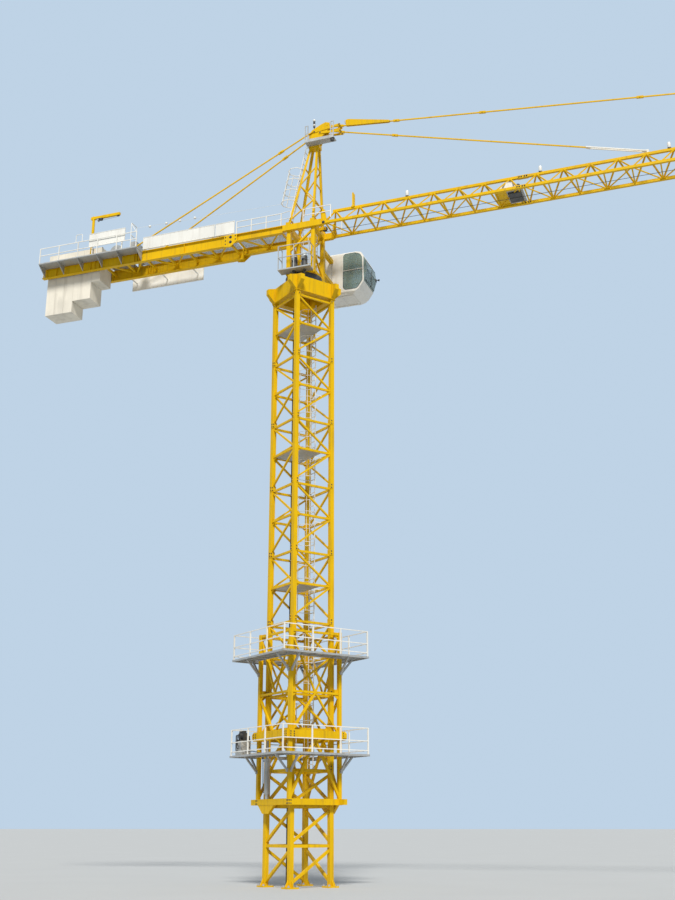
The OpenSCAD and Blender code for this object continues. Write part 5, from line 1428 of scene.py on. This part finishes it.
class CRANE_OT_counter_jib_fittings(CraneFitting, bpy.types.Operator):
    """Stiffeners, joint bolts, floor grating, gate and cabinet of the counter-jib"""

    bl_idname = "crane.counter_jib_fittings"
    bl_label = "Counter-jib fittings"

    def execute(self, context):
        self.stiffeners()
        self.joint_bolts()
        self.gratings()
        self.gate()
        self.cabinet()
        return {"FINISHED"}

    def stiffeners(self):
        ribs = Shape()
        foot, top = DECK_Z - BEAM_D + FLANGE, DECK_Z - FLANGE
        web, edge = 0.006, BEAM_W / 2 - 0.004
        for x in (-6.9, -6.62, -5.62, -5.5, -5.38, -4.38, -4.31, -4.24, -3.0):
            for y in (-BEAM_Y, BEAM_Y):
                for near, far in ((-edge, -web), (web, edge)):
                    ribs.block((x - 0.005, y + near, foot), (x + 0.005, y + far, top))
        ribs.make("beam_stiffeners", "crane_yellow")

    def joint_bolts(self):
        face = BEAM_Y + BEAM_W / 2 + 0.012
        spots, pins = [], []
        for x, z in ((-0.15, -0.06), (-0.15, -0.15), (-0.15, -0.24), (0.11, -0.05), (0.11, -0.14)):
            spots += both_sides(BEAM_JOINT + x, face, DECK_Z + z)
        for z in (-0.07, -0.2):
            pins += both_sides(BEAM_JOINT - 0.02, face, DECK_Z + z)
        self.bolts("joint_bolts", spots, "dark_metal", radius=0.013, height=0.01)
        self.bolts("joint_pins", pins, "dark_metal", radius=0.03, height=0.012)
        pads = []
        for x in (HEAD_X - 0.307, HEAD_X + 0.307):
            for side in (-1, 1):
                for dx in (-0.042, 0.042):
                    for dy in (-0.035, 0.035):
                        pads.append(((x + dx, side * BEAM_Y + dy, DECK_Z + 0.06), (0, 0, 1)))
        self.bolts("head_pad_bolts", pads, "dark_metal", radius=0.009, height=0.008)

    def gratings(self):
        recipe = self.recipe(grating_recipe)
        pitch, width = 0.02, 2 * (BEAM_Y - BEAM_W / 2) + 0.002
        spans = (("grating_outer", -4.42, BEAM_JOINT - 0.03), ("grating_inner", BEAM_JOINT + 0.02, -0.45))
        for name, x0, x1 in spans:
            bars = round((x1 - x0) / pitch)
            sizes = {"Length": x1 - x0, "Width": width, "Bars": bars, "Rods": 9, "Bar height": 0.018}
            spots = spots_mesh([(((x0 + x1) / 2, 0, DECK_Z - 0.011), (0, 0, 1))])
            recipe.grow(name, spots, UPPERWORKS, "galvanised", sizes)

    def gate(self):
        floor = DECK_Z - FLANGE
        y0, y1 = -0.703, -0.44
        x0, x1 = -4.33, -4.2
        paths = [
            [(x0, y0, floor), (x0, y0, floor + 0.68), (x0, y1, floor + 0.68), (x0, y1, floor)],
            [(x0, y0, floor + 0.34), (x0, y1, floor + 0.34)],
            [(x0, y0, floor + 0.66), (x1, y0, floor + 0.42)],
            [(x, y0, floor + z) for x, z in ((-5.9, 0.41), (-5.9, 0.62), (-5.72, 0.62), (-5.72, 0.41))],
        ]
        inner_y = BEAM_Y + 0.035
        for y in (-inner_y, inner_y):
            paths.append(steps_from((-0.44, y, DECK_Z), (0, 0, 0.33), (0.2, 0, 0.36), (0.24, 0, 0.36),
                                    (0.24, 0, 0.17), (0, 0, 0.17)))
        self.tubes("gate_rails", paths, "white_rail", 0.009, bend=0.03)

    def cabinet(self):
        case = Shape()
        x0, x1, y0, y1 = -4.6, -4.42, -0.27, 0.27
        case.block((x0, y0, DECK_Z + 0.02), (x1, y1, DECK_Z + 0.4))
        for y in (y0 + 0.02, 0.005):
            case.block((x0 - 0.006, y, DECK_Z + 0.04), (x0, y + 0.245, DECK_Z + 0.38))
        for y in (y0, -0.02, y1 - 0.04):
            case.block((x0 + 0.01, y, DECK_Z - 0.012), (x1 - 0.01, y + 0.04, DECK_Z + 0.022))
        case.make("control_cabinet", "galvanised", bevel=0.004)


class CRANE_OT_panel_frames(CraneFitting, bpy.types.Operator):
    """Edge frames and rivets of the bare white panels"""

    bl_idname = "crane.panel_frames"
    bl_label = "Panel frames"

    def execute(self, context):
        near = -BEAM_Y - 0.02
        short_x1 = BEAM_JOINT + 0.055
        long_x1 = short_x1 - 0.495 - 0.035
        z = DECK_Z + 0.05
        sheets = []
        for x1, length in ((long_x1, 1.95), (short_x1, 0.495)):
            sheets.append((x1 - length, x1, near, z, z + 0.325))
        far_x1, arm_z = BEAM_JOINT - 1.305, DECK_Z - BEAM_D + FLANGE + 0.024
        sheets.append((far_x1 - 2.01, far_x1, 0.75, arm_z - 0.1825, arm_z + 0.1825))
        winch_x = middle_x("hoist_winch")
        winch_z = DECK_Z - FLANGE + 0.24
        sheets.append((winch_x - 0.5, winch_x + 0.5, -0.667, winch_z, winch_z + 0.35))
        frames, spots = Shape(), []
        for x0, x1, y, z0, z1 in sheets:
            for z in (z0, z1):
                frames.block((x0 - 0.006, y - 0.014, z - 0.007), (x1 + 0.006, y + 0.014, z + 0.007))
            for x in (x0, x1):
                frames.block((x - 0.007, y - 0.0135, z0), (x + 0.007, y + 0.0135, z1))
            count = max(2, round((x1 - x0) / 0.12))
            for k in range(count + 1):
                x = x0 + 0.03 + (x1 - x0 - 0.06) * k / count
                for z in (z0 + 0.022, z1 - 0.022):
                    spots.append(((x, y - 0.008, z), (0, -1, 0)))
        frames.make("panel_frames", "white_rail", bevel=0.002)
        self.bolts("panel_rivets", spots, "galvanised", radius=0.005, height=0.002, stud=1.4)
        return {"FINISHED"}


class CRANE_OT_ballast_eyes(CraneFitting, bpy.types.Operator):
    """Lifting eyes on top of the slabs and the bars that tie them together"""

    bl_idname = "crane.ballast_eyes"
    bl_label = "Ballast eyes"

    def execute(self, context):
        low, high = beside("ballast")
        thick = (high.x - low.x) / 6
        eyes = []
        for k in range(6):
            x = low.x + (k + 0.5) * thick
            for y in (-0.15, 0.15):
                eyes.append(steps_from((x, y, high.z), (0, -0.035, -0.004), (0, -0.035, 0.045),
                                       (0, 0.035, 0.045), (0, 0.035, -0.004)))
        self.tubes("ballast_eyes", eyes, "dark_metal", 0.008, bend=0.034)
        bars = Shape()
        for y in (-0.235, 0.235):
            start = (low.x - 0.012, y - 0.02, high.z - 0.001)
            bars.block(start, (high.x + 0.012, y + 0.02, high.z + 0.011))
        bars.make("ballast_tie_bars", "galvanised", bevel=0.002)
        return {"FINISHED"}


class CRANE_OT_davit_hoist(CraneFitting, bpy.types.Operator):
    """Rope winch close under the davit's arm, with its rope to the sheave at the tip"""

    bl_idname = "crane.davit_hoist"
    bl_label = "Davit hoist"

    def execute(self, context):
        low, high = beside("davit_arm")
        y = (low.y + high.y) / 2
        under = high.z - 0.08
        start, tip = low.x + 0.15, high.x - 0.05
        case = Shape(DAVIT)
        case.block((start, y - 0.035, under - 0.012), (start + 0.18, y + 0.035, under + 0.002))
        case.block((start + 0.1, y - 0.032, under - 0.05), (start + 0.175, y + 0.032, under - 0.01))
        for x in (tip - 0.006, tip + 0.018):
            case.block((x - 0.024, y - 0.016, under - 0.028), (x + 0.012, y + 0.016, under + 0.002))
        case.make("davit_hoist", "dark_metal", bevel=0.002)
        drum = Shape(DAVIT)
        axle = (start + 0.05, y, under - 0.036)
        for side in (-1, 1):
            drum.rod(*steps_from(axle, (0, side * 0.03, 0), (0, side * 0.034, 0)), 0.03)
        drum.rod(*steps_from(axle, (0, -0.031, 0), (0, 0.031, 0)), 0.02, sides=20)
        drum.rod((tip, y - 0.01, under - 0.02), (tip, y + 0.01, under - 0.02), 0.018, sides=20)
        drum.make("davit_drum", "galvanised", bevel=0.001)
        off_drum = steps_from((start, y, under), (0.05, 0, -0.058), (0.09, 0, -0.056))
        rope = [[*off_drum, (tip, y, under - 0.04)]]
        self.tubes("davit_rope", rope, "dark_metal", 0.003, sides=6, place=DAVIT)
        return {"FINISHED"}


class CRANE_OT_trolley_fittings(CraneFitting, bpy.types.Operator):
    """Axle nuts, buffers and plate bolts of the trolley, and the hook's latch"""

    bl_idname = "crane.trolley_fittings"
    bl_label = "Trolley and hook fittings"

    def execute(self, context):
        low, high = beside("trolley")
        middle = middle_x("trolley")
        wheel_z = JIB_LOW + CHORD_W / 2 + 0.042
        spots = both_sides(middle - 0.24, high.y, wheel_z) + both_sides(middle + 0.24, high.y, wheel_z)
        self.bolts("axle_nuts", spots, "dark_metal", radius=0.018, height=0.012)
        small = []
        for dx in (-0.28, -0.2, 0.2, 0.28):
            small += both_sides(middle + dx, high.y, low.z + 0.03)
            small += both_sides(middle + dx, high.y, low.z + 0.07)
        self.bolts("trolley_bolts", small, "dark_metal", radius=0.009, height=0.007)
        buffers = Shape()
        for side in (-1, 1):
            for end in (-1, 1):
                spot = (middle + end * 0.32, side * (high.y - 0.007), low.z + 0.05)
                buffers.rod(*steps_from(spot, (-end * 0.002, 0, 0), (end * 0.035, 0, 0)), 0.022, 0.016)
        buffers.make("trolley_buffers", "black_rubber", bevel=0.003)
        hook_z = beside("hook_block")[0].z + 0.095
        pins = both_sides(middle, 0.045, hook_z + 0.3)
        for dx, dz in ((-0.085, 0.09), (0.085, 0.09), (-0.08, -0.06), (0.08, -0.06)):
            pins += both_sides(middle + dx, 0.037, hook_z + 0.3 + dz)
        self.bolts("hook_block_bolts", pins, "dark_metal", radius=0.013, height=0.009)
        latch = Shape()
        latch.beam((middle - 0.075, 0, hook_z + 0.01), (middle - 0.03, 0, hook_z + 0.075), 0.02, 0.008)
        latch.rod((middle - 0.03, -0.026, hook_z + 0.075), (middle - 0.03, 0.026, hook_z + 0.075), 0.009)
        latch.make("hook_latch", "dark_metal", bevel=0.001)
        return {"FINISHED"}


class CRANE_OT_stage(bpy.types.Operator):
    """Lay the plain floor and set the soft lights"""

    bl_idname = "crane.stage"
    bl_label = "Stage"

    def execute(self, context):
        sizes = context.scene.crane_sizes
        self.lay_floor(context, sizes.floor)
        self.light_world(context, sizes.backdrop)
        self.hang_sun(context)
        context.scene.view_settings.view_transform = "Standard"
        return {"FINISHED"}

    def lay_floor(self, context, colour):
        half = 1500.0
        mesh = bpy.data.meshes.new("floor")
        corners = [(-half, -half, 0), (half, -half, 0), (half, half, 0), (-half, half, 0)]
        mesh.from_pydata(corners, [], [(0, 1, 2, 3)])
        floor = bpy.data.objects.new("floor", mesh)
        context.scene.collection.objects.link(floor)
        mesh.materials.append(matt_floor("floor_matt", colour))

    def light_world(self, context, colour):
        world = bpy.data.worlds.new("studio")
        world.use_nodes = True
        context.scene.world = world
        graph = Graph(world.node_tree)
        light = graph.add("ShaderNodeBackground", {"Color": (0.9, 0.95, 1, 1), "Strength": 0.36})
        seen = graph.add("ShaderNodeBackground", {"Color": rgb(colour), "Strength": 1.0})
        path = "ShaderNodeLightPath"
        straight = graph.add(path, output="Is Camera Ray")
        mirrored = graph.add(path, output="Is Glossy Ray")
        through = graph.add(path, output="Is Transmission Ray")
        shown = (straight + mirrored + through).between(0, 1)
        both = graph.add("ShaderNodeMixShader", {0: shown, 1: light, 2: seen})
        graph.add("ShaderNodeOutputWorld", {"Surface": both})

    def hang_sun(self, context):
        data = bpy.data.lights.new("soft_sun", "SUN")
        data.energy = 3.7
        data.angle = math.radians(12)
        data.color = (1.0, 0.96, 0.9)
        sun = bpy.data.objects.new("soft_sun", data)
        sun.rotation_euler = (math.radians(44), 0, math.radians(20))
        context.scene.collection.objects.link(sun)


class CRANE_PT_panel(bpy.types.Panel):
    """Sidebar panel with the crane's sizes and operators"""

    bl_label = "Tower Crane"
    bl_idname = "CRANE_PT_panel"
    bl_space_type = "VIEW_3D"
    bl_region_type = "UI"
    bl_category = "Crane"

    def draw(self, context):
        for name in CraneSizes.__annotations__:
            self.layout.prop(context.scene.crane_sizes, name)
        for operator in OPERATORS:
            self.layout.operator(operator.bl_idname)


OPERATORS = (
    CRANE_OT_camera,
    CRANE_OT_finishes,
    CRANE_OT_feet,
    CRANE_OT_mast_bolts,
    CRANE_OT_mast_ladder_hoops,
    CRANE_OT_cable_clips,
    CRANE_OT_slewing_fittings,
    CRANE_OT_cage_fittings,
    CRANE_OT_treads,
    CRANE_OT_power_pack_fittings,
    CRANE_OT_motor_fins,
    CRANE_OT_cab_trim,
    CRANE_OT_cab_mast_ladder,
    CRANE_OT_hoist_rope,
    CRANE_OT_jib_pins,
    CRANE_OT_tie_links,
    CRANE_OT_lamps,
    CRANE_OT_counter_jib_fittings,
    CRANE_OT_panel_frames,
    CRANE_OT_ballast_eyes,
    CRANE_OT_davit_hoist,
    CRANE_OT_trolley_fittings,
    CRANE_OT_stage,
)
CLASSES = (CraneSizes, *OPERATORS, CRANE_PT_panel)


def register():
    for each in CLASSES:
        bpy.utils.register_class(each)
    bpy.types.Scene.crane_sizes = bpy.props.PointerProperty(type=CraneSizes)


def unregister():
    del bpy.types.Scene.crane_sizes
    for each in reversed(CLASSES):
        bpy.utils.unregister_class(each)


def main():
    register()
    for operator in OPERATORS:
        name = operator.bl_idname.split(".")[1]
        getattr(bpy.ops.crane, name)()


if __name__ == "__main__":
    main()
